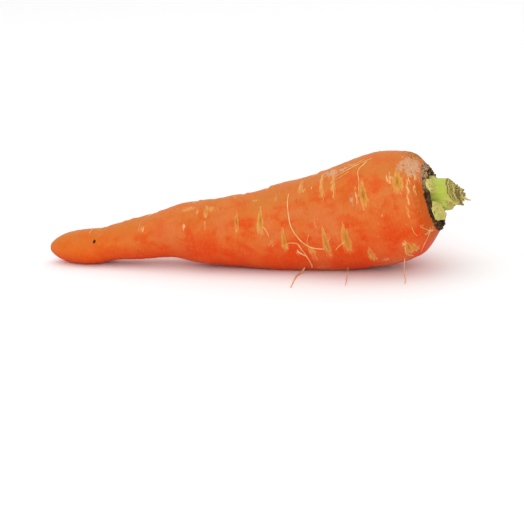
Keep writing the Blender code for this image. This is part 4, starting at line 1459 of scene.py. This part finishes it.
# Lamps as (name, place, size, power), in metres and watts.
LAMPS = [
    ("overhead", (-0.15, 0.1, 1.2), 1.3, 3.6),
    ("front", (0.25, -1.2, 0.7), 0.9, 3.0),
]
LAMP_TARGET = Vector((0.0, 0.0, 0.02))
CAMERA_AZIMUTH = math.radians(14)
CAMERA_ELEVATION = math.radians(16)
CAMERA_ROLL = math.radians(-3)
CAMERA_DISTANCE = 0.75
CAMERA_TARGET = Vector((0.0039, -0.0006, 0.0012))
LENS = 121.24


def build_floor():
    bpy.ops.mesh.primitive_plane_add(size=FLOOR_SIZE, location=(0, 0, 0))
    floor = bpy.context.object
    floor.name = "floor"
    material, _, shader = material_with_shader("floor_white", 0.9, 0.1)
    shader.inputs["Base Color"].default_value = (*FLOOR_COLOUR, 1)
    floor.data.materials.append(material)


def build_light():
    world = bpy.data.worlds.new("studio")
    world.use_nodes = True
    world.node_tree.nodes["Background"].inputs["Color"].default_value = (1, 1, 1, 1)
    world.node_tree.nodes["Background"].inputs["Strength"].default_value = WORLD_STRENGTH
    bpy.context.scene.world = world
    for name, place, size, power in LAMPS:
        lamp = bpy.data.lights.new(name, "AREA")
        lamp.size = size
        lamp.energy = power
        made = bpy.data.objects.new(name, lamp)
        made.location = place
        made.rotation_euler = (LAMP_TARGET - Vector(place)).to_track_quat("-Z", "Y").to_euler()
        bpy.context.scene.collection.objects.link(made)


def build_camera():
    back = Vector((
        math.sin(CAMERA_AZIMUTH) * math.cos(CAMERA_ELEVATION),
        -math.cos(CAMERA_AZIMUTH) * math.cos(CAMERA_ELEVATION),
        math.sin(CAMERA_ELEVATION),
    ))
    right = (-back).cross(Vector((0, 0, 1))).normalized()
    up = right.cross(-back)
    rolled_right = right * math.cos(CAMERA_ROLL) + up * math.sin(CAMERA_ROLL)
    rolled_up = up * math.cos(CAMERA_ROLL) - right * math.sin(CAMERA_ROLL)
    camera = bpy.data.objects.new("camera", bpy.data.cameras.new("camera"))
    camera.data.lens = LENS
    place = CAMERA_TARGET + back * CAMERA_DISTANCE
    turned = Matrix((rolled_right, rolled_up, back)).transposed().to_4x4()
    camera.matrix_world = Matrix.Translation(place) @ turned
    bpy.context.scene.collection.objects.link(camera)
    bpy.context.scene.camera = camera


build_floor()
build_light()
build_camera()
bpy.context.scene.view_settings.view_transform = "Standard"

# %% [markdown]
# Hand over to the frame
#
# Each piece is tied to the one body. The plain CAD nodes are then replaced by the detailed pieces.

# %% Tie the pieces to the frame
PIECES = [
    (root, "carrot_skin", ["root"]),
    (rootlets, "carrot_skin", []),
    (root_hairs, "carrot_skin", []),
    (soil_crumbs, "carrot_skin", []),
    (green_stalks, "stalk_green", ["leaf_stalk_bases"]),
    (withered_sheaths, "stalk_withered", ["withered_stalk_ends"]),
    (withered_core, "stalk_withered", ["withered_stalk_ends"]),
    (torn_fibres, "stalk_withered", []),
    (tail_fibres, "stalk_withered", []),
]
for piece, slot, nodes in PIECES:
    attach(piece, "root")
    if nodes:
        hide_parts(*nodes)
